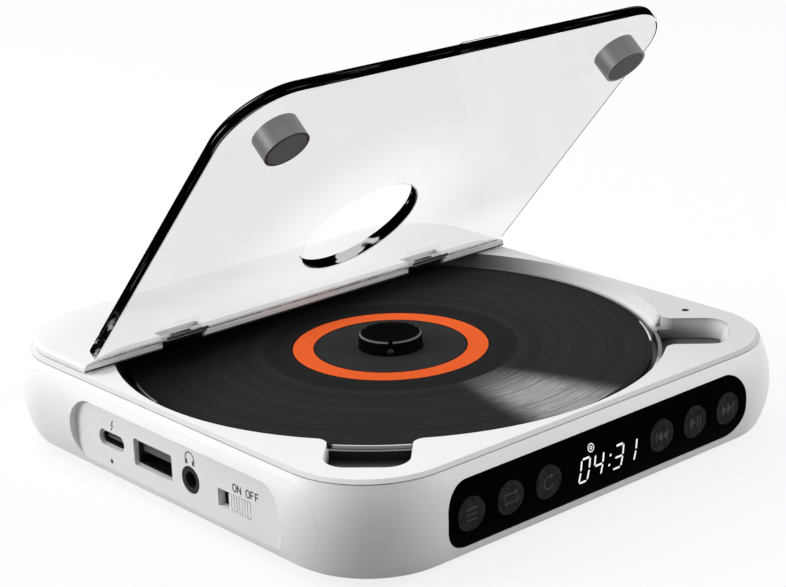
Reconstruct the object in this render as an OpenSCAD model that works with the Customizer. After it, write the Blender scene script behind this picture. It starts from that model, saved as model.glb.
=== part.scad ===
// Small square disc player with a clear hinged lid, lying on its back.
// Millimetres, +Z up, display at -Y, sockets at -X. Z = 0 is the surface it rests on.

/* [Case] */
// Overall width, over the swelling sides
case_w = 136; // [134:0.5:150]
// Overall depth, over the swelling sides
case_d = 135; // [133:0.5:150]
// Height of the deck above the table
deck_h = 23.1; // [22.8:0.1:27]
// Radius of the four upright corners, at the seam
corner_r = 20.5; // [19:0.5:24]
// How far the sides swell out past the seam
side_bulge = 2.4; // [1.5:0.1:3]
// Depth of the seam below the deck
seam_drop = 0.9; // [0.8:0.05:1.2]
// Width of the bevel round the deck
deck_bevel = 1.0; // [0.6:0.1:1.2]
// Wall of the side shell
wall = 1.8; // [1.5:0.1:2]
// Thickness of the deck
deck_t = 1.7; // [1.5:0.1:2]
// Thickness of the bottom cover
base_t = 1.6; // [1.4:0.1:2]
// Radius along the bottom edge
base_edge_r = 4; // [3:0.1:5]
// Height of the rubber feet that shows
foot_h = 1.0; // [0.8:0.1:1.2]
// Radius of a foot
foot_r = 5; // [4:0.5:6]

/* [Disc well] */
// Distance of the spindle behind the middle of the case
spindle_y = 0.5; // [0:0.1:0.9]
// Radius of the well at the deck
well_r = 63.5; // [63:0.1:63.8]
// Depth of the well's floor below the deck
well_depth = 5.1; // [5:0.1:5.6]
// Thickness of the well's floor
floor_t = 1.4; // [1.2:0.1:1.6]
// Thickness of the well's wall
tub_wall = 1.2; // [1:0.1:1.3]
// Depth of the lip round the disc below the deck
lip_depth = 3.1; // [3:0.1:3.4]
// Width of the lip
lip_w = 0.9; // [0.8:0.1:1]
// Gap between the disc's edge and the lip
disc_gap = 1.3; // [1:0.1:1.3]

/* [Finger scoops] */
// Distance of a scoop's outer end from the spindle
scoop_end = 77.5; // [77:0.1:78]
// Width of a scoop
scoop_w = 17.5; // [16:0.5:18]
// Corner radius of a scoop's outer end
scoop_corner = 5; // [3:0.5:6]
// Rounding where a scoop opens into the well
scoop_mouth_r = 3; // [2:0.5:4]
// How far a scoop's end wall leans
scoop_lean = 1.4; // [1:0.1:1.5]

/* [Rear cover] */
// Distance of its front face behind the middle of the case
rear_y = 29.4; // [29.3:0.1:30]
// Height of its top above the deck
rear_h = 3.6; // [3.4:0.1:4.2]
// Shadow gap between it and the deck
rear_gap = 0.5; // [0.3:0.1:0.6]
// Rounding between its side and its top
rear_edge_r = 1.2; // [0.8:0.1:1.4]
// Radius of its domed rim
rear_dome_r = 46; // [42:1:60]
// Width of its domed rim
rear_dome_w = 12; // [10:0.5:13]
// Thickness of its top
rear_t = 1.4; // [1.2:0.1:1.6]

/* [Lid] */
// Lid angle, 0 when shut
lid_open = 48.5; // [0:0.5:80]
// Widest opening
lid_max = 80; // [50:1:80]
// Width of the clear panel
lid_w = 125.4; // [120:0.2:128]
// Thickness of the clear panel
lid_t = 2.8; // [2.5:0.1:3]
// Gap between the shut lid and the case's front edge
lid_front_gap = 3.0; // [2:0.1:4]
// Radius of the panel's front corners
lid_corner = 14.8; // [10:0.2:18]
// Radius of the hole over the hub
lid_hole_r = 15.4; // [13:0.1:17]
// Gap between the shut lid and the deck
lid_gap = 0.3; // [0.25:0.05:0.5]
// Distance of the hinge pin behind the panel's rear edge
hinge_back = 2.45; // [2.4:0.05:2.6]
// Radius of the hinge knuckles
knuckle_r = 1.25; // [1.2:0.05:1.3]
// Radius of the hinge pins
hinge_pin_r = 0.6; // [0.5:0.05:0.7]
// Length of one hinge
hinge_len = 11.4; // [10:0.2:13]
// Distance between the two hinges
hinge_span = 75; // [64:1:80]
// Radius of a lid foot
lid_foot_r = 5.2; // [4.5:0.1:5.4]
// Height of a lid foot with its pad
lid_foot_h = 5.1; // [4.8:0.1:5.1]
// Distance of a lid foot from its scoop's outer end
lid_foot_in = 7.0; // [6.8:0.1:7.6]
// How far a lid foot stands in front of its scoop's middle line
lid_foot_side = 1.0; // [0:0.1:1.6]

/* [Disc drive] */
// Radius of the disc
disc_r = 60; // [59.5:0.1:60]
// Thickness of the disc
disc_t = 1.2; // [1.1:0.1:1.3]
// Depth of the disc's top below the deck
disc_drop = 2.8; // [2.7:0.1:2.9]
// Radius of the hub that holds the disc
hub_r = 7.35; // [7.2:0.05:7.4]
// Height of the hub above the disc
hub_h = 3.3; // [3:0.1:3.4]
// Radius of the turntable under the disc
turntable_r = 12.5; // [11:0.5:13]
// Radius of the spindle
shaft_r = 1.0; // [0.9:0.05:1.1]
// Direction of the pickup's slide, from +X
drive_angle = 45; // [44:1:46]
// Distance of the lens from the spindle, at the disc's first track
lens_in = 24; // [23:0.5:25]
// Length of the pickup's travel
sled_travel = 34; // [30:0.5:34]
// Distance between the guide rods
rod_span = 28; // [27:0.5:28]
// Radius of the guide rods
rod_r = 1.0; // [0.9:0.05:1.1]
// Radius of the lead screw
screw_r = 1.2; // [1.1:0.05:1.3]

/* [Front] */
// Length of the display window
window_w = 90; // [88:0.5:90]
// Height of the display window
window_h = 14.6; // [14:0.1:15]
// Corner radius of the window
window_corner = 6; // [5:0.5:7]
// Height of the window's middle above the table
window_z = 12.1; // [12:0.1:12.3]
// Thickness of the window's hidden lip
window_t = 0.6; // [0.5:0.1:0.7]
// Width of the window's hidden lip
window_lip = 1.5; // [1:0.1:1.8]
// Width of the display behind the window
display_w = 24.4; // [22:0.2:24.4]
// Radius of a button
button_r = 3.7; // [3.4:0.1:3.8]
// Distance between neighbouring buttons
button_pitch = 10.8; // [10:0.1:10.8]
// Distance of the inner buttons from the middle
button_in = 17.2; // [16:0.1:17.2]
// Travel of a button
button_travel = 0.4; // [0.3:0.05:0.5]

/* [Left side] */
// Depth of the flat port panel behind the side's widest point
panel_drop = 1.6; // [1.4:0.1:1.7]
// Length of the port panel
panel_len = 75; // [72:1:78]
// Distance of the panel's middle in front of the case's middle
panel_y = -5.5; // [-6.5:0.5:-4.5]
// Lower edge of the panel
panel_z0 = 3.6; // [3.4:0.1:4]
// Upper edge of the panel
panel_z1 = 18.6; // [18:0.1:19]
// Height of the socket centres above the table
port_z = 11.4; // [11.2:0.1:11.6]
// Bore of the headphone socket
jack_bore_r = 1.8; // [1.75:0.05:1.85]
// Length of the headphone socket's bore
jack_len = 12; // [11:0.5:13]
// Travel of the slide switch
switch_travel = 3.2; // [2.5:0.1:3.2]

/* [Wall fixing] */
// Distance between the two keyholes
keyhole_span = 60; // [56:1:64]
// Distance of the keyholes behind the middle
keyhole_y = 36; // [34:1:38]
// Radius of a keyhole's entry
keyhole_r = 4.2; // [4:0.1:4.4]
// Half width of a keyhole's slot
keyhole_slot_r = 2.2; // [2:0.1:2.4]
// Length of a keyhole's slot, centre to centre
keyhole_len = 8; // [7:0.5:9]

/* [Fits] */
// Gap between fixed neighbours
fit = 0.15; // [0.1:0.01:0.2]
// Gap round a running shaft
run = 0.04; // [0.02:0.01:0.08]
// Gap between moving neighbours
free = 0.3; // [0.3:0.05:0.4]

/* [Hidden] */
$fn = 96;
e = 0.01;
half_w = case_w / 2 - side_bulge;
half_d = case_d / 2 - side_bulge;
seam_z = deck_h - seam_drop;
base_z = foot_h;
base_top = base_z + base_t;
shell_z = base_z + 1.4;
bulge_h = (seam_z - base_z - 1.8) / 2;
bulge_z = seam_z - bulge_h;
bulge_r = (bulge_h * bulge_h + side_bulge * side_bulge) / (2 * side_bulge);
bulge_x = corner_r + side_bulge - bulge_r;
edge_z = base_z + base_edge_r;
edge_x = bulge_x + sqrt(pow(bulge_r - base_edge_r, 2) - pow(bulge_z - edge_z, 2));
edge_join_z = bulge_z - (bulge_z - edge_z) * bulge_r / (bulge_r - base_edge_r);
inner_r = bulge_r - wall;
seam_in = 0.3;
rim_in = corner_r - bulge_x - sqrt(inner_r * inner_r - pow(bulge_z - shell_z, 2)) + fit;

floor_z = deck_h - well_depth;
tub_z = floor_z - floor_t;
scoop_z = tub_z - 0.2;
tub_r = well_r + tub_wall;
lip_z = deck_h - lip_depth;
disc_top = deck_h - disc_drop;
disc_z = disc_top - disc_t;
scoop_in = disc_r + disc_gap + lip_w;
plate_z = deck_h - deck_t;

axis_z = deck_h + lid_gap + lid_t / 2;
lid_rear_y = rear_y - 0.59;
axis_y = lid_rear_y + hinge_back;
lid_len = lid_rear_y + half_d - lid_front_gap;
lid_foot_x = (scoop_end - lid_foot_in - lid_foot_side) / sqrt(2);
lid_foot_y = spindle_y - (scoop_end - lid_foot_in + lid_foot_side) / sqrt(2);
rear_top = deck_h + rear_h;
rear_dome_x = corner_r - deck_bevel - rear_dome_w;
rear_edge_z = rear_top - rear_dome_r
    + sqrt(pow(rear_dome_r - rear_edge_r, 2) - pow(rear_dome_w - rear_edge_r, 2));
rear_join_x = rear_dome_x
    + (rear_dome_w - rear_edge_r) * rear_dome_r / (rear_dome_r - rear_edge_r);

front_arc_y = half_d - corner_r + bulge_x;
left_arc_x = half_w - corner_r + bulge_x;
button_x = [for (s = [-1, 1]) for (i = [0:2]) s * (button_in + i * button_pitch)];
window_back = inner_r - fit - window_t;
button_lip_r = button_r + 0.7;
button_lip_y = front_arc_y - 0.1
    + sqrt(pow(window_back, 2) - pow(button_lip_r + abs(window_z - bulge_z), 2));
board_y = button_lip_y - 3.7;
display_y = button_lip_y - 0.2;
key_board_z = 5.6;
key_foot_x = 34;
boss_x = half_w - 11.4;
boss_y = half_d - 11.3;
boss_r = 3;
boss_z = 4.6;
rear_screws = [[half_w - 7.1, rear_y + 8.6], [42, half_d - 8.1]];
foot_x = half_w - 23.6;
foot_y = half_d - 19.1;
sensor_x = half_w - 6.9;
sensor_y = -37.7;

panel_x = case_w / 2 - panel_drop;
panel_in = 1.8;
usb_c_y = 17.9;
usb_a_y = 2.4;
jack_y = -11.2;
jack_z = port_z - 0.5;
switch_y = -26.2;
switch_z = port_z - 1.2;
led_y = 18.4;
led_z = 6.3;
slot_w = 11.1;
slot_h = 4.0;
knob_w = slot_w - switch_travel - 0.8;
board_top = 8.2;
board_t = 1.2;
board_x0 = -(panel_x - panel_in - 0.6);
board_x1 = -panel_x + 34.4;
board_screws = [[board_x0 + 5, -38], [board_x1 - 4, -38], [board_x1 - 4, 20], [board_x0 + 8, 25.5]];

drive_drop = 8.1;
chassis_z = disc_z - drive_drop;
chassis_t = 2;
chassis_w = 21.5;
chassis_back = -20;
sled_in = 12;
sled_out = 6;
chassis_in = lens_in - sled_in - 1;
chassis_out = lens_in + sled_travel + sled_out + 1;
chassis_end = chassis_out + 4;
chassis_slot = 17;
rod_z = chassis_z + 1;
screw_v = -chassis_slot - 1.6;
screw_z = chassis_z - 2.6;
dampers = [[-16, -14], [-16, 14], [30, -24.5], [30, 24.5]];
damper_r = 3.6;
damper_neck = 2.2;
motor_r = 10.5;
lens_z = disc_z - 1.7;
lens_t = 1.9;

battery_w = 43;
battery_d = 29;
battery_h = 7.6;
battery_x = -27.5;
battery_y = 42.2;
pocket_top = base_z + 5.2;

// Outlines shared by several pieces

module rounded_rect(a, b, r) {
    square([2 * a, 2 * (b - r)], center = true);
    square([2 * (a - r), 2 * b], center = true);
    for (x = [-1, 1], y = [-1, 1])
        translate([x * (a - r), y * (b - r)]) circle(r);
}

// Carries a profile, drawn outward from the corner's centre, round the case
module sweep_round(a, b, r) {
    for (q = [0:3]) {
        sx = (q == 0 || q == 3) ? 1 : -1;
        sy = (q < 2) ? 1 : -1;
        translate([sx * (a - r), sy * (b - r), 0])
            rotate(90 * q) rotate_extrude(angle = 90) children();
    }
    for (m = [0, 1]) mirror([0, m, 0])
        translate([-(a - r), b - r, 0]) rotate([90, 0, 90]) linear_extrude(2 * (a - r)) children();
    for (m = [0, 1]) mirror([m, 0, 0])
        translate([a - r, b - r, 0]) rotate([90, 0, 0]) linear_extrude(2 * (b - r)) children();
}

module band(z0, z1) {
    translate([-200, z0]) square([400, z1 - z0]);
}

// Profile of the case's side, pulled in by inset
module side_profile(inset, z0, z1) {
    intersection() {
        union() {
            intersection() {
                translate([bulge_x - inset, bulge_z]) circle(bulge_r, $fn = 180);
                band(edge_join_z, seam_z);
            }
            intersection() {
                union() {
                    translate([edge_x - inset, edge_z]) circle(base_edge_r);
                    translate([0, base_z]) square([edge_x - inset, base_edge_r]);
                }
                band(base_z, edge_join_z);
            }
        }
        translate([0, z0]) square([60, z1 - z0]);
    }
}

module plate(inset, z0, z1) {
    translate([0, 0, z0]) linear_extrude(z1 - z0)
        rounded_rect(half_w - inset, half_d - inset, corner_r - inset);
}

// Room that the well's tub takes out of the pieces round it
module tub_room(gap) {
    translate([0, spindle_y, tub_z - 0.3]) cylinder(r = tub_r + gap, h = 20);
}

module at_corners(x, y) {
    for (sx = [-1, 1], sy = [-1, 1]) translate([sx * x, sy * y, 0]) children();
}

module at_spindle() {
    translate([0, spindle_y, 0]) children();
}

module on_drive() {
    at_spindle() rotate(drive_angle) children();
}

// Places a piece drawn on the shut lid at the lid's present angle
module on_lid() {
    translate([0, axis_y, axis_z]) rotate([-lid_open, 0, 0]) translate([0, -axis_y, -axis_z])
        children();
}

// Top cover: deck, well and two finger scoops

module scoop_outline(grow) {
    w = scoop_w / 2 + grow;
    r = scoop_corner + grow;
    far = scoop_end + grow;
    translate([50, -w]) square([far - r - 50, 2 * w]);
    translate([50, -w + r]) square([far - 50, 2 * (w - r)]);
    for (s = [-1, 1]) translate([far - r, s * (w - r)]) circle(r);
}

module scoop_hollow() {
    difference() {
        intersection() {
            translate([0, 0, floor_z]) linear_extrude(well_depth + 1) scoop_outline(0);
            rotate([90, 0, 0]) linear_extrude(60, center = true)
                polygon([[50, floor_z], [scoop_end - scoop_lean, floor_z],
                    [scoop_end, deck_h], [scoop_end, deck_h + 1], [50, deck_h + 1]]);
        }
        translate([0, 0, floor_z - 1]) cylinder(r = scoop_in - 0.05, h = lip_z - floor_z + 1);
    }
    // flared mouth, its rounding let a hair into both walls
    v = scoop_w / 2 + scoop_mouth_r - 0.03;
    reach = well_r + scoop_mouth_r - 0.06;
    u = sqrt(reach * reach - v * v);
    k = 1 - (scoop_mouth_r + 2) / reach;
    for (s = [0, 1]) mirror([0, s, 0])
        translate([0, 0, lip_z + 0.4]) linear_extrude(lip_depth + 1) difference() {
            polygon([[u, v], [u * k, v * k], [u - 4, v - scoop_mouth_r - 1],
                [u, v - scoop_mouth_r - 0.5]]);
            translate([u, v]) circle(scoop_mouth_r);
        }
}

module deck_profile() {
    polygon([[0, plate_z], [corner_r - wall - 0.4, plate_z], [corner_r - wall - 0.4, seam_z],
        [corner_r - 0.3, seam_z], [corner_r - 0.3, seam_z + 0.2], [corner_r, seam_z + 0.2],
        [corner_r - deck_bevel, deck_h], [0, deck_h]]);
}

// Opening in the well's floor for the turntable and the lens
module drive_window() {
    on_drive() translate([0, 0, tub_z - 1]) {
        cylinder(r = turntable_r + 1.5, h = floor_t + 2);
        translate([0, -10, 0]) cube([lens_in + sled_travel + 3, 20, floor_t + 2]);
    }
}

module top_cover() color("white") difference() {
    union() {
        sweep_round(half_w, half_d, corner_r) deck_profile();
        translate([0, 0, plate_z]) linear_extrude(deck_t)
            square([2 * (half_w - corner_r), 2 * (half_d - corner_r)], center = true);
        at_spindle() translate([0, 0, tub_z]) cylinder(r = tub_r, h = seam_z - tub_z);
        at_spindle() for (a = [225, 315]) rotate(a) translate([0, 0, scoop_z])
            linear_extrude(plate_z - scoop_z + e) scoop_outline(tub_wall);
        for (sx = [-1, 1]) {
            translate([sx * boss_x, -boss_y, boss_z]) cylinder(r = boss_r, h = plate_z - boss_z + e);
            translate([sx * boss_x, boss_y, boss_z]) cylinder(r = boss_r, h = plate_z - boss_z + e);
        }
        translate([sensor_x, sensor_y, plate_z - 2]) cylinder(r = 2, h = 2 + e);
    }
    at_spindle() {
        translate([0, 0, floor_z]) cylinder(r = disc_r + disc_gap, h = 10);
        translate([0, 0, lip_z]) cylinder(r1 = scoop_in, r2 = well_r, h = lip_depth);
        translate([0, 0, deck_h]) cylinder(r = well_r, h = 5);
        for (a = [225, 315]) rotate(a) scoop_hollow();
    }
    drive_window();
    at_corners(boss_x, boss_y) translate([0, 0, boss_z - 1]) cylinder(r = 1, h = 9);
    for (p = rear_screws, sx = [-1, 1])
        translate([sx * p[0], p[1], plate_z - 1]) cylinder(r = 1.3, h = 5);
    translate([sensor_x, sensor_y, plate_z - 3]) cylinder(r = 0.9, h = 10);
}

// Side shell: the swelling ring round the case

module left_panel_solid() {
    y0 = panel_y - panel_len / 2 - 1.5;
    translate([-panel_x - 1.2, y0, panel_z0])
        cube([panel_in + 1.2, panel_len + 3, panel_z1 - panel_z0 + 0.6]);
}

module panel_outline() {
    r = 6.5;
    h = (panel_z1 - panel_z0) / 2;
    translate([panel_y, (panel_z0 + panel_z1) / 2]) rounded_rect(panel_len / 2, h, r);
}

// Turns a drawing in Y and Z to face the left side and gives it depth along X
module from_left(x0, x1) {
    translate([x0, 0, 0]) rotate([90, 0, 90]) linear_extrude(x1 - x0) children();
}

module from_front(y0, y1) {
    translate([0, y1, 0]) rotate([90, 0, 0]) linear_extrude(y1 - y0) children();
}

module window_outline(grow) {
    translate([0, window_z])
        rounded_rect(window_w / 2 + grow, window_h / 2 + grow, window_corner + grow);
}

module side_shell() color("white") difference() {
    union() {
        sweep_round(half_w, half_d, corner_r) difference() {
            side_profile(0, shell_z, seam_z);
            translate([bulge_x, bulge_z]) circle(inner_r, $fn = 180);
            translate([0, 0]) square([corner_r - 4.5, 60]);
        }
        intersection() {
            left_panel_solid();
            translate([-left_arc_x, 0, bulge_z]) rotate([90, 0, 0])
                cylinder(r = bulge_r, h = 200, center = true, $fn = 180);
        }
    }
    tub_room(fit);
    from_front(-100, -front_arc_y + 1) window_outline(fit);
    from_left(-100, -panel_x) panel_outline();
    from_left(-panel_x - 3.6, -panel_x + 6.4) translate([usb_c_y, port_z]) rounded_rect(4.8, 1.95, 1.94);
    from_left(-panel_x - 3.6, -panel_x + 6.4) translate([usb_a_y, port_z]) rounded_rect(7.0, 3.2, 0.8);
    from_left(-panel_x - 3.6, -panel_x + 6.4) translate([jack_y, jack_z]) circle(3.1);
    from_left(-panel_x - 3.6, -panel_x + 6.4) translate([switch_y, switch_z]) square([slot_w, slot_h], center = true);
    from_left(-panel_x - 3.6, -panel_x + 6.4) translate([led_y, led_z]) circle(0.5 + fit / 2, $fn = 32);
}

// Bottom cover with its screw seats, posts and keyholes

module keyhole(r, slot_r) {
    circle(r);
    translate([-slot_r, 0]) square([2 * slot_r, keyhole_len]);
    translate([0, keyhole_len]) circle(slot_r);
}

module bottom_cover() color("white") difference() {
    union() {
        sweep_round(half_w, half_d, corner_r) side_profile(seam_in, base_z, shell_z - 0.1);
        translate([0, 0, base_z]) linear_extrude(shell_z - 0.1 - base_z)
            square([2 * (half_w - corner_r) + 1, 2 * (half_d - corner_r) + 1], center = true);
        plate(4, base_z + 0.5, base_top);
        difference() {
            plate(rim_in, base_z + 0.5, shell_z + 2);
            plate(rim_in + 1.2, base_top - e, shell_z + 4);
        }
        at_corners(boss_x, boss_y) translate([0, 0, base_z + 0.5])
            cylinder(r = boss_r + 1, h = boss_z - fit - base_z - 0.5);
        for (p = board_screws) translate([p[0], p[1], base_top - e])
            cylinder(r = 2.3, h = board_top - board_t - base_top + e);
        on_drive() for (p = dampers) translate([p[0], p[1], base_top - e])
            cylinder(r = 2, h = chassis_z - 1.5 - base_top + e);
        for (sx = [-1, 1]) translate([sx * keyhole_span / 2, keyhole_y, base_z + 0.5]) {
            linear_extrude(pocket_top - base_z - 0.5) keyhole(keyhole_r + 1.6, keyhole_r + 1.2);
        }
        // feet of the key board
        for (s = [-1, 1]) translate([s * key_foot_x - 1.5, -board_y - 0.8, base_top - e])
            cube([3, 2.8, key_board_z - base_top + e]);
        // ledges that carry the battery
        for (x = [battery_x - battery_w / 2 + 2, battery_x + battery_w / 2 - 3])
            translate([x, battery_y - battery_d / 2 + 1, base_top - e])
                cube([1.4, battery_d - 2, pocket_top + 0.3 - base_top + e]);
    }
    at_corners(boss_x, boss_y) {
        translate([0, 0, base_z - 1]) cylinder(r = 2.5, h = 2.6);
        cylinder(r = 1.3, h = 20);
    }
    at_corners(foot_x, foot_y) translate([0, 0, base_z - 1]) cylinder(r = foot_r + fit, h = 1.6);
    for (p = board_screws) translate([p[0], p[1], base_top + 0.6]) cylinder(r = 0.9, h = 20);
    on_drive() for (p = dampers)
        translate([p[0], p[1], base_top + 0.6]) cylinder(r = 1, h = 20);
    for (sx = [-1, 1]) translate([sx * keyhole_span / 2, keyhole_y, 0]) {
        translate([0, 0, base_z - 1]) linear_extrude(base_t + 1.01)
            keyhole(keyhole_r, keyhole_slot_r);
        translate([0, 0, base_top]) linear_extrude(pocket_top - 1 - base_top)
            keyhole(keyhole_r, keyhole_r - 0.2);
    }
}

// Rear cover: the raised block behind the lid

module rear_profile() {
    side_x = corner_r - deck_bevel;
    z0 = deck_h + rear_gap;
    translate([0, z0]) square([side_x, rear_edge_z - z0]);
    intersection() {
        translate([side_x - rear_edge_r, rear_edge_z]) circle(rear_edge_r);
        translate([0, rear_edge_z]) square([side_x + 1, rear_h]);
    }
    intersection() {
        translate([rear_dome_x, rear_top - rear_dome_r]) circle(rear_dome_r, $fn = 180);
        translate([rear_dome_x, z0]) square([rear_join_x - rear_dome_x, rear_h]);
    }
    translate([0, z0]) square([rear_dome_x, rear_top - z0]);
}

module rear_solid() {
    intersection() {
        union() {
            sweep_round(half_w - deck_bevel, half_d - deck_bevel, corner_r - deck_bevel)
                rear_profile();
            translate([0, 0, deck_h + rear_gap]) linear_extrude(rear_h - rear_gap)
                square([2 * (half_w - corner_r), 2 * (half_d - corner_r)], center = true);
        }
        translate([-100, rear_y, 0]) cube([200, 200, 60]);
    }
}

module hinge_places() {
    for (sx = [-1, 1]) translate([sx * hinge_span / 2, 0, 0]) children();
}

module rear_cover() color("white") difference() {
    union() {
        difference() {
            rear_solid();
            difference() {
                translate([0, 0, -rear_t + deck_h + rear_h - 10]) intersection() {
                    linear_extrude(10) rounded_rect(half_w - 6, half_d - 6, corner_r - 6);
                    translate([-100, rear_y + 1.4, -10]) cube([200, 200, 40]);
                }
                for (p = rear_screws, sx = [-1, 1])
                    translate([sx * p[0], p[1], 0]) cylinder(r = 2.6, h = 60);
            }
        }
        // rim that stands on the deck inside the shadow gap
        difference() {
            intersection() {
                plate(2, deck_h, deck_h + 1);
                translate([-100, rear_y + 0.8, 0]) cube([200, 200, 60]);
            }
            plate(3.2, 0, 60);
        }
        for (p = rear_screws, sx = [-1, 1])
            translate([sx * p[0], p[1], deck_h]) cylinder(r = 2.2, h = 1);
    }
    at_spindle() cylinder(r = well_r, h = deck_h + rear_gap);
    for (p = rear_screws, sx = [-1, 1])
        translate([sx * p[0], p[1], 0]) cylinder(r = 0.9, h = deck_h + 2.2);
    hinge_places() {
        translate([-hinge_len / 2 - free, 0, deck_h])
            cube([hinge_len + 2 * free, axis_y + knuckle_r + 0.2, 20]);
    }
    // softened front edge
    translate([0, rear_y, rear_top]) rotate([45, 0, 0]) cube([200, 1.1, 1.1], center = true);
}

// Hinges

module hinge_bracket(side) color("dimgray") translate([side * hinge_span / 2, 0, 0])
difference() {
    top = rear_top - rear_t;
    union() {
        for (s = [-1, 1]) translate([s * (hinge_len / 2 - 1.3), axis_y, axis_z])
            rotate([0, 90, 0]) cylinder(r = knuckle_r, h = 2.6, center = true);
        for (s = [-1, 1]) translate([s * (hinge_len / 2 - 1.3) - 1.3, axis_y, top - 1.1])
            cube([2.6, knuckle_r + 1, 1]);
        translate([-hinge_len / 2, axis_y + knuckle_r + 0.3, top - 1.1])
            cube([hinge_len, 6, 1.1]);
    }
    translate([0, axis_y, axis_z]) rotate([0, 90, 0])
        cylinder(r = hinge_pin_r, h = 30, center = true);
}

module hinge_pin(side) color("silver")
    translate([side * hinge_span / 2, axis_y, axis_z]) rotate([0, 90, 0])
        cylinder(r = hinge_pin_r, h = hinge_len - 0.4, center = true, $fn = 48);

module hinge_arm(side) color("dimgray") on_lid() translate([side * hinge_span / 2, 0, 0])
difference() {
    w = hinge_len - 5.2 - 2 * free;
    z0 = axis_z - lid_t / 2;
    union() {
        translate([0, axis_y, axis_z]) rotate([0, 90, 0])
            cylinder(r = knuckle_r, h = w, center = true);
        translate([-w / 2, lid_rear_y, axis_z - 0.6]) cube([w, hinge_back, 1.2]);
        translate([-hinge_len / 2, lid_rear_y - 1.6, z0 - 0.35])
            cube([hinge_len, 2, lid_t + 0.7]);
    }
    translate([-10, lid_rear_y - 3, z0]) cube([20, 3, lid_t]);
    translate([0, axis_y, axis_z]) rotate([0, 90, 0])
        cylinder(r = hinge_pin_r + run, h = 30, center = true);
}

// Lid

module lid_outline() {
    a = lid_w / 2;
    front = lid_rear_y - lid_len;
    translate([-a, front + lid_corner]) square([lid_w, lid_len - lid_corner - 1.5]);
    translate([-a + lid_corner, front]) square([lid_w - 2 * lid_corner, lid_len]);
    translate([-a + 1.5, lid_rear_y - 3]) square([lid_w - 3, 3]);
    for (s = [-1, 1]) {
        translate([s * (a - lid_corner), front + lid_corner]) circle(lid_corner);
        translate([s * (a - 1.5), lid_rear_y - 1.5]) circle(1.5, $fn = 32);
    }
}

module lid_panel() color("azure", 0.35) on_lid() {
    z0 = axis_z - lid_t / 2;
    difference() {
        translate([0, 0, z0]) linear_extrude(lid_t) lid_outline();
        at_spindle() translate([0, 0, z0 - 1]) cylinder(r = lid_hole_r, h = lid_t + 2);
    }
    // finger lip
    translate([0, lid_rear_y - lid_len + 2.4, z0 + lid_t - e]) linear_extrude(1.1)
        rounded_rect(6, 1.2, 1.1);
}

module lid_foot(side) color("gray") on_lid() difference() {
    z1 = axis_z - lid_t / 2;
    translate([side * lid_foot_x, lid_foot_y, z1 - lid_foot_h + 0.1])
        cylinder(r = lid_foot_r, h = lid_foot_h - 0.1);
    translate([side * lid_foot_x, lid_foot_y, z1 - lid_foot_h])
        cylinder(r = lid_foot_r - 0.6, h = 0.9);
}

module lid_pad(side) color("black") on_lid()
    translate([side * lid_foot_x, lid_foot_y, axis_z - lid_t / 2 - lid_foot_h])
        cylinder(r = lid_foot_r - 0.7, h = 0.9);

module catch_magnets() color("silver")
    for (s = [-1, 1]) translate([s * lid_foot_x, lid_foot_y, scoop_z - 2])
        cylinder(r = 3, h = 2);

// Disc and spindle

module disc() color("black") at_spindle() difference() {
    translate([0, 0, disc_z]) cylinder(r = disc_r, h = disc_t, $fn = 180);
    cylinder(r = 7.5, h = 60);
}

module turntable() color("black") at_spindle() difference() {
    union() {
        translate([0, 0, disc_z - 1.4]) cylinder(r = turntable_r, h = 1.4);
        translate([0, 0, disc_z - 1.4]) cylinder(r = hub_r, h = 1.4 + disc_t + hub_h - 0.5);
        translate([0, 0, disc_top + hub_h - 0.5]) cylinder(r1 = hub_r, r2 = hub_r - 0.5, h = 0.5);
    }
    translate([0, 0, disc_z - 3]) cylinder(r = shaft_r, h = 5);
    translate([0, 0, disc_top + hub_h - 0.6]) cylinder(r1 = 4.4, r2 = 5.2, h = 1);
    for (a = [229, 349, 109]) rotate(a) {
        translate([hub_r - 1.5, -0.5, disc_top]) cube([3, 1, 4]);
        translate([hub_r + 0.5, 0, disc_top + 0.95]) rotate([0, -90, 0])
            cylinder(r = 0.85, h = 1.85, $fn = 32);
    }
}

module disc_balls() color("silver") at_spindle()
    for (a = [229, 349, 109]) rotate(a)
        translate([hub_r - 0.4, 0, disc_top + 0.95]) sphere(r = 0.8, $fn = 32);

module spindle_shaft() color("silver") at_spindle()
    translate([0, 0, chassis_z - 1.9]) cylinder(r = shaft_r, h = disc_z + 2 - chassis_z + 1.9);

module spindle_motor() color("silver") at_spindle() difference() {
    union() {
        translate([0, 0, chassis_z + chassis_t]) cylinder(r = motor_r, h = 1);
        translate([0, 0, chassis_z + chassis_t]) cylinder(r = motor_r - 1.5, h = 3.6);
        translate([0, 0, chassis_z - 2.4]) cylinder(r = 3, h = 2.6 + chassis_t);
    }
    translate([0, 0, chassis_z - 2]) cylinder(r = shaft_r + run, h = 30);
}

// Chassis, rods and pickup, drawn with the slide along X and turned by on_drive

module chassis_outline() {
    translate([chassis_back, -chassis_w]) square([chassis_end - chassis_back, 2 * chassis_w]);
    for (p = dampers) translate(p) circle(damper_r + 1.2);
}

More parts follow.
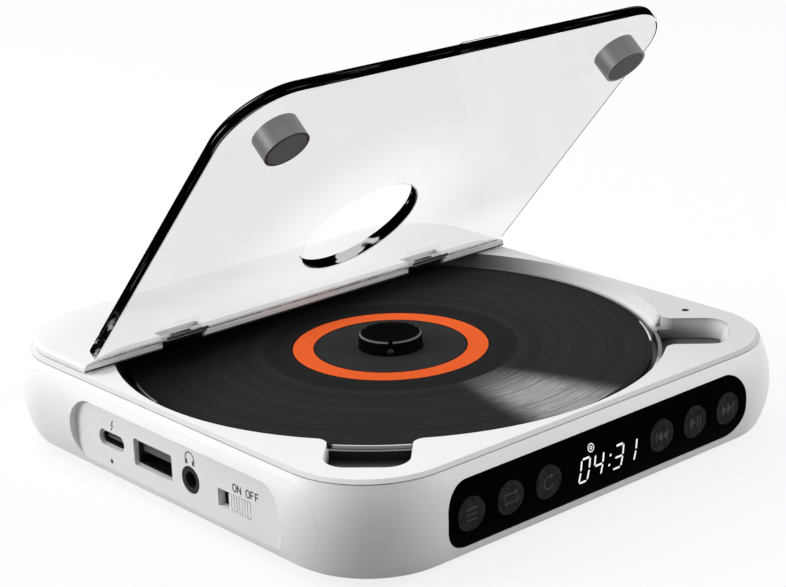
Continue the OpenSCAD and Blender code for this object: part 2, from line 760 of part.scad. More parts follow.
module chassis() color("dimgray") on_drive() difference() {
    union() {
        translate([0, 0, chassis_z]) linear_extrude(chassis_t) chassis_outline();
        for (u = [chassis_in - 4, chassis_out], s = [-1, 1])
            translate([u, s * rod_span / 2 - 2.2, chassis_z - 1.5]) cube([4, 4.4, 4.6]);
        translate([chassis_in - 12, screw_v - 3.4, chassis_z - 6.6]) cube([1.5, 6.8, 6.8]);
    }
    translate([chassis_in, -chassis_slot, 0]) cube([chassis_out - chassis_in, 2 * chassis_slot, 60]);
    cylinder(r = 3 + run, h = 60);
    for (p = dampers) translate([p[0], p[1], 0]) cylinder(r = damper_neck + run, h = 60);
    for (s = [-1, 1]) translate([chassis_in - 4, s * rod_span / 2, rod_z]) rotate([0, 90, 0])
        cylinder(r = rod_r, h = chassis_out + 3 - chassis_in + 4, $fn = 48);
    translate([-60, screw_v, screw_z]) rotate([0, 90, 0]) cylinder(r = screw_r + 0.3, h = 200);
}

module rod(side) color("silver") on_drive()
    translate([chassis_in - 4, side * rod_span / 2, rod_z]) rotate([0, 90, 0])
        cylinder(r = rod_r, h = chassis_out + 3 - chassis_in + 4, $fn = 48);

module dampers() color("black") on_drive() for (p = dampers) translate([p[0], p[1], 0])
difference() {
    union() {
        translate([0, 0, chassis_z - 1.5]) cylinder(r = damper_r, h = 1.5);
        translate([0, 0, chassis_z - 1.5]) cylinder(r = damper_neck, h = chassis_t + 2.7);
        translate([0, 0, chassis_z + chassis_t]) cylinder(r = damper_r, h = 1.2);
    }
    cylinder(r = 1.1, h = 60);
}

module damper_screws() color("silver") on_drive() for (p = dampers) translate([p[0], p[1], 0]) {
    translate([0, 0, base_top + 2]) cylinder(r = 1, h = chassis_z + chassis_t + 1.2 - base_top - 2);
    translate([0, 0, chassis_z + chassis_t + 1.2]) cylinder(r = 2.4, h = 1);
}

module sled() color("dimgray") on_drive() translate([lens_in, 0, 0]) difference() {
    union() {
        translate([-sled_in, -chassis_slot + 3.6, chassis_z - 1])
            cube([sled_in + sled_out, 2 * chassis_slot - 7.2, 3.6]);
        translate([-sled_in, -rod_span / 2 - 1.8, chassis_z - 1]) cube([sled_in + sled_out, 4, 3.6]);
        translate([-11, rod_span / 2 - 3, chassis_z - 1]) cube([10, 4.6, 3.6]);
        translate([-11, -5, chassis_z - 3.5]) cube([14, 10, 2.6]);
    }
    translate([-60, -rod_span / 2, rod_z]) rotate([0, 90, 0])
        cylinder(r = rod_r + run, h = 120, $fn = 48);
    translate([-60, rod_span / 2 - rod_r - run, rod_z - rod_r - run])
        cube([120, 5, 2 * (rod_r + run)]);
    translate([-5, -6, chassis_z - 0.6]) cube([10, 12, 5]);
}

module screw_follower() color("white") on_drive() translate([lens_in - 11, 0, 0]) difference() {
    translate([0, screw_v - 2, screw_z - 1.8])
        cube([8, rod_span / 2 * -1 + 2.2 - screw_v + 2, chassis_z - 1 - screw_z + 1.8]);
    translate([-1, screw_v, screw_z]) rotate([0, 90, 0]) cylinder(r = screw_r + 0.1, h = 12);
}

module lens_holder() color("black") on_drive() translate([lens_in, 0, 0]) difference() {
    union() {
        translate([-4.5, -5.5, chassis_z]) cube([9, 11, 3.4]);
        translate([0, 0, chassis_z + 3]) cylinder(r = 4, h = lens_z - 1.4 - chassis_z - 3);
    }
    translate([0, 0, lens_z - lens_t]) cylinder(r = 2.3, h = 5);
    translate([0, 0, chassis_z - 1]) cylinder(r = 1.7, h = 20);
}

module lens() color("lightblue") on_drive() translate([lens_in, 0, 0]) intersection() {
    translate([0, 0, lens_z - lens_t]) cylinder(r = 2.3, h = lens_t);
    translate([0, 0, lens_z - 6]) sphere(r = 6);
}

module lead_screw() color("silver") on_drive() {
    translate([chassis_in - 13.9, screw_v, screw_z]) rotate([0, 90, 0]) {
        cylinder(r = screw_r - 0.25, h = chassis_out - chassis_in + 15.9, $fn = 48);
        for (i = [0:14]) translate([0, 0, 5 + i * 3.6]) cylinder(r = screw_r, h = 1.6, $fn = 48);
    }
}

module sled_motor() color("silver") on_drive() difference() {
    translate([chassis_in - 23, screw_v, screw_z]) rotate([0, 90, 0]) cylinder(r = 2.5, h = 11);
    translate([chassis_in - 14, screw_v, screw_z]) rotate([0, 90, 0])
        cylinder(r = screw_r - 0.25 + run, h = 12, $fn = 48);
}

module screw_bearing() color("white") on_drive() difference() {
    translate([chassis_out + 0.2, screw_v - 2.2, screw_z - 2.2])
        cube([2.4, 4.4, chassis_z - screw_z + 2.2]);
    translate([chassis_in, screw_v, screw_z]) rotate([0, 90, 0])
        cylinder(r = screw_r - 0.25 + run, h = chassis_out - chassis_in + 2.1, $fn = 48);
}

// Front: window, display, buttons

module front_arc(r) {
    translate([0, -front_arc_y, bulge_z]) rotate([0, 90, 0])
        cylinder(r = r, h = 200, center = true, $fn = 180);
}

module button_holes(grow) {
    for (x = button_x) translate([x, window_z]) circle(button_r + grow);
}

module display_window() color("black") difference() {
    union() {
        intersection() {
            from_front(-100, -front_arc_y + 1) window_outline(0);
            front_arc(bulge_r);
        }
        intersection() {
            from_front(-100, -front_arc_y + 1) window_outline(window_lip);
            front_arc(inner_r - fit);
            translate([-100, -100, shell_z + 2 + fit]) cube([200, 200, 60]);
        }
    }
    front_arc(window_back);
    tub_room(fit);
    from_front(-100, 0) button_holes(0.2);
}

module display_module() color("black")
    translate([-display_w / 2, -display_y, window_z - 4.6])
        cube([display_w, display_y - board_y, tub_z - 2 * fit - window_z + 4.6]);

module key_board() color("green")
    translate([-window_w / 2 + 1, -board_y, key_board_z])
        cube([window_w - 2, 1.2, tub_z - 0.6 - key_board_z]);

module key_switches() color("silver") for (x = button_x) {
    translate([x - 2.5, -board_y - 1.6, window_z - 2.5]) cube([5, 1.6, 5]);
    translate([x, -board_y - 1.6, window_z]) rotate([90, 0, 0]) cylinder(r = 1, h = 0.6, $fn = 32);
}

module button(i) color([0.08, 0.08, 0.08]) translate([button_x[i], 0, window_z]) {
    intersection() {
        translate([0, -button_lip_y, 0]) rotate([90, 0, 0]) cylinder(r = button_r, h = 6);
        translate([0, 0, -window_z]) front_arc(bulge_r - 0.05);
    }
    translate([0, 0.6 - button_lip_y, 0]) rotate([90, 0, 0]) cylinder(r = button_lip_r, h = 0.6);
    translate([0, -board_y - 2.3 - button_travel, 0]) rotate([90, 0, 0])
        cylinder(r = 1.4, h = button_lip_y - board_y - 2.3 - button_travel, $fn = 32);
}

// Left side: boards and sockets

module main_board() color("green") difference() {
    translate([board_x0, -43, board_top - board_t]) cube([board_x1 - board_x0, 70.6, board_t]);
    for (p = board_screws) translate([p[0], p[1], 0]) cylinder(r = 1.2, h = 20);
    // notch under the headphone socket's barrel
    translate([board_x0 - 1, jack_y - 1.8, board_top - board_t - 1]) cube([5.3, 3.6, board_t + 2]);
}

module board_screws() color("silver") for (p = board_screws) translate([p[0], p[1], 0]) {
    translate([0, 0, base_top + 1]) cylinder(r = 0.9, h = board_top - base_top - 1);
    translate([0, 0, board_top]) cylinder(r = 1.9, h = 0.9);
}

module usb_c_socket() color("silver") difference() {
    union() {
        from_left(-panel_x + 0.6, -panel_x + 8.9) translate([usb_c_y, port_z]) rounded_rect(4.47, 1.63, 1.62);
        translate([-panel_x + 2.6, usb_c_y - 4.2, board_top]) cube([6, 8.4, port_z - 1 - board_top]);
    }
    difference() {
        from_left(-panel_x - 1, -panel_x + 7.9) translate([usb_c_y, port_z]) rounded_rect(4.17, 1.33, 1.32);
        from_left(-panel_x + 1.4, -panel_x + 9.4) translate([usb_c_y, port_z]) square([6.7, 0.7], center = true);
    }
}

module usb_a_socket() color("silver") difference() {
    union() {
        from_left(-panel_x + 0.6, -panel_x + 14.4) translate([usb_a_y, port_z]) rounded_rect(6.6, 2.85, 0.5);
        translate([-panel_x + 2.6, usb_a_y - 6.4, board_top]) cube([10, 12.8, port_z - 2.5 - board_top]);
    }
    difference() {
        from_left(-panel_x - 1, -panel_x + 13.4) translate([usb_a_y, port_z]) rounded_rect(6.25, 2.55, 0.3);
        from_left(-panel_x + 1.6, -panel_x + 14.4) translate([usb_a_y, port_z + 1]) square([11, 1.8], center = true);
    }
}

module headphone_socket() color("black") difference() {
    union() {
        from_left(-panel_x + 0.1, -panel_x + 6.4) translate([jack_y, jack_z]) circle(2.95);
        translate([-panel_x + 2.5, jack_y - 3.2, board_top]) cube([13, 6.4, 2 * (jack_z - board_top)]);
    }
    translate([-panel_x - 1, jack_y, jack_z]) rotate([0, 90, 0])
        cylinder(r = jack_bore_r, h = jack_len + 1.1);
}

module mode_switch() color("silver") difference() {
    translate([-panel_x + panel_in + 0.1, switch_y - 7, board_top])
        cube([5, 14, 2 * (switch_z - board_top)]);
    translate([-panel_x, switch_y - slot_w / 2 + 0.4, switch_z - 1])
        cube([panel_in + 2.6, slot_w - 0.8, 2]);
}

module switch_knob() color("white") {
    y0 = switch_y - slot_w / 2 + 0.4;
    difference() {
        translate([-panel_x + 0.1, y0, switch_z - slot_h / 2 + 0.25])
            cube([panel_in - 0.3, knob_w, slot_h - 0.5]);
        for (i = [1:7]) translate([-panel_x - 0.2, y0 + i * knob_w / 8 - 0.15, 0]) cube([0.5, 0.3, 30]);
    }
    translate([-panel_x + panel_in - 0.3, y0 + knob_w / 2 - 1.5, switch_z - 0.7]) cube([2.4, 3, 1.4]);
}

module charge_light() color("orange")
    translate([-panel_x + 5.4, led_y - 1, board_top - board_t - 1.2]) cube([2, 2, 1.2]);

module light_pipe() color("azure") from_left(-panel_x + 0.1, -panel_x + 5.4) translate([led_y, led_z])
    circle(0.5, $fn = 32);

module battery() color("silver")
    translate([battery_x - battery_w / 2, battery_y - battery_d / 2, pocket_top + 0.3])
        cube([battery_w, battery_d, battery_h]);

module lid_sensor() color("black")
    translate([sensor_x - 2.5, sensor_y - 2, plate_z - 4.5]) cube([5, 4, 2.5]);

// Fasteners and feet

module feet() color("dimgray") at_corners(foot_x, foot_y) cylinder(r = foot_r, h = foot_h + 0.6);

module case_screws() color("silver") at_corners(boss_x, boss_y) {
    translate([0, 0, base_z + 0.2]) cylinder(r = 2.3, h = 1.4);
    translate([0, 0, base_z + 1.6]) cylinder(r = 1, h = 9);
}

module rear_cover_screws() color("silver") for (p = rear_screws, sx = [-1, 1])
    translate([sx * p[0], p[1], 0]) {
        translate([0, 0, plate_z - 1]) cylinder(r = 2, h = 1);
        translate([0, 0, plate_z - 0.5]) cylinder(r = 0.9, h = 3.6);
    }

top_cover();
side_shell();
bottom_cover();
rear_cover();
display_window();
display_module();
key_board();
key_switches();
usb_c_socket();
usb_a_socket();
headphone_socket();
mode_switch();
charge_light();
light_pipe();
main_board();
board_screws();
battery();
feet();
case_screws();
rear_cover_screws();
hinge_bracket(-1);  // hinge_bracket_left
hinge_bracket(1);  // hinge_bracket_right
hinge_pin(-1);  // hinge_pin_left
hinge_pin(1);  // hinge_pin_right
chassis();
dampers();
damper_screws();
spindle_motor();
rod(-1);  // main_rod
rod(1);  // side_rod
sled_motor();
screw_bearing();
lid_sensor();
catch_magnets();
lid_panel();
lid_foot(-1);  // lid_foot_left
lid_foot(1);  // lid_foot_right
lid_pad(-1);  // lid_pad_left
lid_pad(1);  // lid_pad_right
hinge_arm(-1);  // hinge_arm_left
hinge_arm(1);  // hinge_arm_right
turntable();
spindle_shaft();
disc();
disc_balls();
sled();
screw_follower();
lens_holder();
lens();
lead_screw();
button(2);  // button_menu
button(1);  // button_repeat
button(0);  // button_loop
button(3);  // button_previous
button(4);  // button_play
button(5);  // button_next
switch_knob();
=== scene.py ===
import math

import bmesh
import bpy
from mathutils import Matrix, Vector


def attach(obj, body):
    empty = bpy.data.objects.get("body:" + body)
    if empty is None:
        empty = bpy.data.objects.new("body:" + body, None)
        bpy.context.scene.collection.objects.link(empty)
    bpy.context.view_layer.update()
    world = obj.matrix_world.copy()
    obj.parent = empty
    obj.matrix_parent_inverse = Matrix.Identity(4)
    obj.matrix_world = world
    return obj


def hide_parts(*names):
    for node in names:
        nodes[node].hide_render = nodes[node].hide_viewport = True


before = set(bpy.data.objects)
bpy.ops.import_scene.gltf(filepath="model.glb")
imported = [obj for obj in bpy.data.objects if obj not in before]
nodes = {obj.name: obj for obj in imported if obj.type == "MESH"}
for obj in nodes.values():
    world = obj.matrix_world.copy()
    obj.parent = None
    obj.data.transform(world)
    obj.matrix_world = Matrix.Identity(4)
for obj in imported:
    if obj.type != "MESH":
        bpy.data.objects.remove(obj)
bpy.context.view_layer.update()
mm = 0.001
discY = 0.5    # the disc's middle lies at x 0 and this y
print("frame loaded,", len(nodes), "nodes")


# camera, from the photographed view
viewValues = {
    "azimuth": -40.79356,
    "elevation": 18.51469,
    "roll": -2.00976,
    "distance": 479.5786,
    "target": (0.479, -0.412, 33.0),
    "focalPixels": 2095.795,
    "framePixels": 786,
    "sensor": 36,
    "clip": (0.01, 50),
}


def placeCamera(v):
    az, el, roll = (math.radians(v[k]) for k in ("azimuth", "elevation", "roll"))
    back = Vector((math.sin(az) * math.cos(el), -math.cos(az) * math.cos(el), math.sin(el)))
    level = (-back).cross(Vector((0, 0, 1))).normalized()
    upright = level.cross(-back)
    right = level * math.cos(roll) + upright * math.sin(roll)
    up = upright * math.cos(roll) - level * math.sin(roll)
    place = (Vector(v["target"]) + back * v["distance"]) * mm
    lens = bpy.data.cameras.new("photoCamera")
    lens.sensor_width = v["sensor"]
    lens.lens = v["sensor"] * v["focalPixels"] / v["framePixels"]
    lens.clip_start, lens.clip_end = v["clip"]
    camera = bpy.data.objects.new("photoCamera", lens)
    bpy.context.scene.collection.objects.link(camera)
    rows = [[right[i], up[i], back[i], place[i]] for i in range(3)]
    camera.matrix_world = Matrix(rows + [[0, 0, 0, 1]])
    bpy.context.scene.camera = camera


placeCamera(viewValues)


# a shader socket that takes part in plain sums
class Wire:
    def __init__(self, finish, socket):
        self.finish, self.socket = finish, socket

    def maths(self, operation, *values):
        return self.finish.node("ShaderNodeMath", {"operation": operation}, dict(enumerate(values)))

    def __add__(self, other): return self.maths("ADD", self, other)
    def __radd__(self, other): return self.maths("ADD", other, self)
    def __sub__(self, other): return self.maths("SUBTRACT", self, other)
    def __rsub__(self, other): return self.maths("SUBTRACT", other, self)
    def __mul__(self, other): return self.maths("MULTIPLY", self, other)
    def __rmul__(self, other): return self.maths("MULTIPLY", other, self)
    def __truediv__(self, other): return self.maths("DIVIDE", self, other)
    def __rtruediv__(self, other): return self.maths("DIVIDE", other, self)
    def __gt__(self, other): return self.maths("GREATER_THAN", self, other)
    def __lt__(self, other): return self.maths("LESS_THAN", self, other)
    def __abs__(self): return self.maths("ABSOLUTE", self)

    def atLeast(self, other):
        return self.maths("MAXIMUM", self, other)

    def atMost(self, other):
        return self.maths("MINIMUM", self, other)

    def sine(self):
        return self.maths("SINE", self)

    def port(self, name):
        return Wire(self.finish, self.socket.node.outputs[name])


# a material under construction
class Finish:
    def __init__(self, name):
        self.material = bpy.data.materials.new(name)
        self.material.use_nodes = True
        self.tree = self.material.node_tree
        self.tree.nodes.clear()

    def node(self, kind, settings=None, sockets=None, output=0):
        made = self.tree.nodes.new(kind)
        for key, value in (settings or {}).items():
            setattr(made, key, value)
        for key, value in (sockets or {}).items():
            if isinstance(value, Wire):
                self.tree.links.new(value.socket, made.inputs[key])
            else:
                made.inputs[key].default_value = value
        return Wire(self, made.outputs[output]) if made.outputs else made

    # the piece's own place in millimetres, the same in every pose
    def place(self):
        raw = self.node("ShaderNodeTexCoord", output="Object")
        return self.node("ShaderNodeVectorMath", {"operation": "SCALE"}, {0: raw, "Scale": 1000})

    def axes(self, vector):
        split = self.node("ShaderNodeSeparateXYZ", None, {0: vector})
        return split.port("X"), split.port("Y"), split.port("Z")

    def join(self, x, y, z):
        return self.node("ShaderNodeCombineXYZ", None, {0: x, 1: y, 2: z})

    # a number as a colour
    def pale(self, level):
        return self.join(level, level, level)

    def along(self, vector, direction):
        return self.node("ShaderNodeVectorMath", {"operation": "DOT_PRODUCT"},
                         {0: vector, 1: direction}, "Value")

    def length(self, vector):
        return self.node("ShaderNodeVectorMath", {"operation": "LENGTH"}, {0: vector}, "Value")

    def noise(self, vector, scale, detail=3, roughness=0.55):
        return self.node("ShaderNodeTexNoise", None,
                         {"Vector": vector, "Scale": scale, "Detail": detail, "Roughness": roughness})

    def ease(self, value, low, high, start=0.0, end=1.0):
        return self.node("ShaderNodeMapRange", {"interpolation_type": "SMOOTHSTEP"},
                         {"Value": value, "From Min": low, "From Max": high,
                          "To Min": start, "To Max": end})

    # a noise's middle part drawn out to the whole range
    def spread(self, noise, start=0.0, end=1.0):
        return self.ease(noise, 0.3, 0.7, start, end)

    # the same, softer
    def vary(self, noise, start, end):
        return self.ease(noise, 0.2, 0.8, start, end)

    def mix(self, mask, a, b):
        a, b = (c if isinstance(c, Wire) else (*c, 1) for c in (a, b))
        return self.node("ShaderNodeMix", {"data_type": "RGBA"}, {0: mask, 6: a, 7: b}, 2)

    def bump(self, height, distance, strength=1.0):
        return self.node("ShaderNodeBump", None,
                         {"Height": height, "Distance": distance, "Strength": strength})

    # 1 on a face's outer side, 0 on its back
    def outerSide(self):
        return 1.0 - self.node("ShaderNodeNewGeometry", output="Backfacing")

    # one principled shader straight to the output
    def close(self, **looks):
        names = {"color": "Base Color", "roughness": "Roughness", "metallic": "Metallic",
                 "normal": "Normal", "coat": "Coat Weight", "alpha": "Alpha",
                 "specular": "Specular IOR Level", "glow": "Emission Color",
                 "glowStrength": "Emission Strength"}
        sockets = {}
        for key, value in looks.items():
            if key in ("color", "glow") and not isinstance(value, Wire):
                value = (*value, 1)
            sockets[names[key]] = value
        shader = self.node("ShaderNodeBsdfPrincipled", None, sockets)
        self.node("ShaderNodeOutputMaterial", None, {"Surface": shader})
        return self.material


def grey(level):
    return (level, level, level)


# a pale studio with three soft lamps
studioValues = {
    "worldLight": 0.25,
    "floorReach": 9.0,     # metres to each side
    "floorShade": 0.34,    # what the floor throws back at the player
    "floorMottle": (0.004, 0.01),    # per millimetre, and how strong
    "floorSeen": 0.97,     # what the camera sees of it
    "floorGlow": 0.82,
    "aim": (0, 0, 0.03),
    "lamps": [
        # name, direction from the player, distance m, size m, watts
        ("leftLamp", (-0.70, 0.62, 0.38), 1.4, 0.8, 15.5),
        ("rightLamp", (0.72, -0.60, 0.34), 1.4, 0.8, 10.8),
        ("topLamp", (-0.15, 0.3, 1.0), 1.3, 1.0, 6.6),
    ],
}


def whiteRays(finish):
    rays = finish.node("ShaderNodeLightPath")
    seen = rays.port("Is Camera Ray")
    for other in ("Is Glossy Ray", "Is Transmission Ray"):
        seen = seen.atLeast(rays.port(other))
    return seen


# the same node methods, for the world
class Surround(Finish):
    def __init__(self, world):
        self.tree = world.node_tree
        self.tree.nodes.clear()


def buildStudio(v):
    world = bpy.data.worlds.new("paleStudio")
    world.use_nodes = True
    bpy.context.scene.world = world
    sky = Surround(world)
    dim = sky.node("ShaderNodeBackground", None, {"Color": (1, 1, 1, 1), "Strength": v["worldLight"]})
    white = sky.node("ShaderNodeBackground", None, {"Color": (1, 1, 1, 1), "Strength": 1.0})
    both = sky.node("ShaderNodeMixShader", None, {0: whiteRays(sky), 1: dim, 2: white})
    sky.node("ShaderNodeOutputWorld", None, {"Surface": both})

    mesh = bpy.data.meshes.new("paleFloor")
    reach = v["floorReach"]
    corners = [(-reach, -reach, 0), (reach, -reach, 0), (reach, reach, 0), (-reach, reach, 0)]
    mesh.from_pydata(corners, [], [(0, 1, 2, 3)])
    floor = bpy.data.objects.new("paleFloor", mesh)
    bpy.context.scene.collection.objects.link(floor)
    paint = Finish("paleFloor")
    scale, strength = v["floorMottle"]
    mottle = paint.noise(paint.place(), scale, 2)
    shade = paint.mix(mottle, grey(v["floorShade"] - strength), grey(v["floorShade"] + strength))
    seen = whiteRays(paint)
    lit = paint.node("ShaderNodeBsdfDiffuse", None, {"Color": paint.mix(seen, shade, grey(v["floorSeen"]))})
    glow = paint.node("ShaderNodeEmission", None, {"Color": (1, 1, 1, 1), "Strength": 1.0})
    both = paint.node("ShaderNodeMixShader", None, {0: seen * v["floorGlow"], 1: lit, 2: glow})
    paint.node("ShaderNodeOutputMaterial", None, {"Surface": both})
    mesh.materials.append(paint.material)

    for name, direction, distance, size, watts in v["lamps"]:
        data = bpy.data.lights.new(name, "AREA")
        data.shape, data.size, data.energy = "DISK", size, watts
        lamp = bpy.data.objects.new(name, data)
        bpy.context.scene.collection.objects.link(lamp)
        toward = Vector(direction).normalized()
        lamp.location = Vector(v["aim"]) + toward * distance
        lamp.rotation_mode = "QUATERNION"
        lamp.rotation_quaternion = (-toward).to_track_quat("-Z", "Y")
        lamp.visible_camera = False


buildStudio(studioValues)
bpy.context.scene.view_settings.view_transform = "Standard"
print("studio ready")


# white case pieces; a ramp in the values is (from, to) or (from, to, first tone, last tone),
# in millimetres
shellValues = {
    "light": (0.86, 0.86, 0.87),
    "shade": (0.81, 0.81, 0.82),
    "cloud": 0.035,        # clouds per millimetre
    "speck": 2.2,
    "speckSize": (0.62, 0.8),
    "speckTone": grey(0.70),
    "speckShare": 0.10,
    "grain": 5.5,
    "grainHeight": 0.00001,
    "roughness": (0.39, 0.46),
}


def shellFinish(name, v, paint=None):
    f = Finish(name)
    p = f.place()
    x, y, z = f.axes(p)
    cloud = f.noise(p, v["cloud"], 2)
    color = f.mix(f.spread(cloud), v["shade"], v["light"])
    speck = f.ease(f.noise(p, v["speck"], 2), *v["speckSize"])
    color = f.mix(speck * v["speckShare"], color, v["speckTone"])
    if paint:
        color = paint(f, color, cloud, x, y - discY, z)
    grain = f.noise(p, v["grain"], 2)
    return f.close(color=color, roughness=f.vary(cloud, *v["roughness"]),
                   normal=f.bump(grain, v["grainHeight"], 0.35), specular=0.4)


deckValues = {
    # painted light: the deck's colour at the lit left and at the shaded right
    "left": (grey(0.88), grey(0.92)),
    "right": grey(0.70),
    "litLeftToShadedRight": (-20, 62),
    "wallRadius": (60.0, 63.48),
    "wallHeight": (23.09, 23.02),
    # painted shade ramps for the well's wall
    "wallRear": (34, -32, 0.14, 0.84),
    "wallRearEnd": (50, 34, 0.1, 1.0),
    "wallLeft": (-4, 4, 0.015, 1.0),
    "wallByScoops": (9.5, 14.5, 0.42, 1.0),
    # the scoops and their painted shade
    "scoopRadius": 61.2,
    "scoopEnd": 78,
    "scoopHalfWidth": 11.6,
    "scoopSeatHalfWidth": 8.9,
    "scoopStep": 20.1,
    "scoopHeight": (22.95, 22.3),
    "scoopFloor": (63.0, 67.5, 0.004, 0.10),
    "scoopFloorHeight": (18.5, 18.1),
    "scoopSeatHeight": (20.1, 19.9),
    "scoopMouth": 62.6,
    "scoopWallUp": (18.0, 22.9),
    "scoopWallOut": (64, 76, 0.0, 0.8),
    "scoopWall": (0.0, 1.6, 0.17, 0.86),
    "hole": (58.7, -38.2),
    "holeRadius": 1.02,
    "holeTop": 23.05,
    "holeShadeTone": grey(0.004),
    "wellRadius": 61.25,
    "wellHeight": (19.9, 19.2),
    "wellShadeTone": grey(0.05),
    "bevelRadius": 63.6,
    "bevelTop": (23.09, 23.0),
    "bevelFoot": (22.1, 22.2),
    "bevelTone": grey(0.30),
    "bevelShare": 0.34,
    "seamRadius": 64,
    "seamTop": (22.44, 22.40),
    "seamFoot": 22.1,
    "seamTone": grey(0.10),
    "seamShare": 0.6,
}


def deckPaint(f, color, cloud, x, y, z):
    v = deckValues
    diagonal = math.sqrt(0.5)
    out = (abs(x) - y) * diagonal    # outward along the nearer scoop
    side = abs((abs(x) + y) * diagonal)
    radius = f.length(f.join(x, y, 0.0))
    # painted light: the deck is painted lighter at the left and darker at the right, where less light falls
    color = f.mix(f.ease(x, *v["litLeftToShadedRight"]), f.mix(cloud, *v["left"]), v["right"])
    # painted shade: the well's sloping wall is painted darker at the rear, at the left and beside the
    # scoops, where shade falls
    tone = f.ease(y, *v["wallRear"]) * f.ease(y, *v["wallRearEnd"])
    tone = tone * f.ease(x, *v["wallLeft"]) * f.ease(side, *v["wallByScoops"])
    inner, outer = v["wallRadius"]
    wall = (radius < outer) * (radius > inner) * f.ease(z, *v["wallHeight"])
    color = f.mix(wall, color, f.pale(tone))
    # the two scoops, narrower below their step, with painted shade: near black on their floors and by the
    # mouth, grey walls lighter towards the top and the outer end
    inside = (radius > v["scoopRadius"]) * (side < v["scoopHalfWidth"]) * (out < v["scoopEnd"]) * (y < 0)
    inside = inside * f.ease(z, *v["scoopHeight"])
    inside = inside * ((side < v["scoopSeatHalfWidth"]) + (z > v["scoopStep"])).atMost(1.0)
    flat = f.ease(out, *v["scoopFloor"])
    wall = f.ease(f.ease(z, *v["scoopWallUp"]) + f.ease(out, *v["scoopWallOut"]), *v["scoopWall"])
    low = f.ease(z, *v["scoopFloorHeight"]) + (radius < v["scoopMouth"])
    color = f.mix(inside, color, f.mix(f.ease(z, *v["scoopSeatHeight"]) * low, f.pale(wall), f.pale(flat)))
    # painted shade: the small hole over the lid sensor is painted black inside
    holeX, holeY = v["hole"]
    spot = f.length(f.join(x - holeX, y - holeY, 0.0))
    color = f.mix((spot < v["holeRadius"]) * (z < v["holeTop"]), color, v["holeShadeTone"])
    # painted shade on the well's floor under the disc
    color = f.mix((radius < v["wellRadius"]) * f.ease(z, *v["wellHeight"]), color, v["wellShadeTone"])
    # the bevel and the seam round the deck
    bevel = f.ease(z, *v["bevelTop"]) * f.ease(z, *v["bevelFoot"]) * (radius > v["bevelRadius"])
    color = f.mix(bevel * (1.0 - inside) * v["bevelShare"], color, v["bevelTone"])
    seam = f.ease(z, *v["seamTop"]) * (z > v["seamFoot"]) * (radius > v["seamRadius"])
    return f.mix(seam * (1.0 - inside) * v["seamShare"], color, v["seamTone"])


sideShellValues = {
    "panelX": -66.4,
    "panelEdge": (0.1, 0.05),
    "panelTone": grey(0.62),
    "panelShare": 0.2,
    "gapZ": 1.4,
    "gapEdge": (0.14, 0.07),
    "gapTone": grey(0.10),
    "gapShare": 0.7,
}


# the sunk port panel, and the fine gap above the bottom cover
def sidePaint(f, color, cloud, x, y, z):
    v = sideShellValues
    panel = f.ease(abs(x - v["panelX"]), *v["panelEdge"])
    color = f.mix(panel * v["panelShare"], color, v["panelTone"])
    gap = f.ease(abs(z - v["gapZ"]), *v["gapEdge"])
    return f.mix(gap * v["gapShare"], color, v["gapTone"])


rearCoverValues = {
    "front": (28.99, 28.95),
    "streaks": (0.015, 2.6),    # per millimetre across and up
    "streakTurn": (0.35, 0.65),
    # painted shade on the front, in streaks
    "streakTones": (grey(0.50), grey(0.80)),
    # painted shadow along the foot
    "foot": (24.05, 23.95),
    "footShadowTone": grey(0.012),
}


# the narrow side that faces the disc, painted grey in streaks for the shade under the lid, with a painted
# shadow along its foot
def rearPaint(f, color, cloud, x, y, z):
    v = rearCoverValues
    across, up = v["streaks"]
    streak = f.noise(f.join(x * across, 0.0, z * up), 1.0, 2)
    front = f.ease(y, *v["front"])
    color = f.mix(front, color, f.mix(f.ease(streak, *v["streakTurn"]), *v["streakTones"]))
    return f.mix(front * f.ease(z, *v["foot"]), color, v["footShadowTone"])


windowValues = {"low": grey(0.00048), "high": grey(0.00128), "haze": 0.25, "roughness": (0.12, 0.21)}


def windowFinish(v):
    f = Finish("windowGloss")
    haze = f.noise(f.place(), v["haze"], 3)
    return f.close(color=f.mix(haze, v["low"], v["high"]), specular=0.002,
                   roughness=f.spread(haze, *v["roughness"]))


buttonValues = {"low": grey(0.008), "high": grey(0.034), "grain": 3.2, "cloud": 0.55, "turn": (0.38, 0.72)}


def buttonFinish(v):
    f = Finish("buttonSmoke")
    p = f.place()
    dots = f.noise(p, v["grain"], 3, 0.7)
    cloud = f.noise(p, v["cloud"], 2)
    color = f.mix(f.ease(dots * 0.6 + cloud * 0.5, *v["turn"]), v["low"], v["high"])
    return f.close(color=color, roughness=0.55, specular=0.02, normal=f.bump(dots, 0.00001, 0.3))


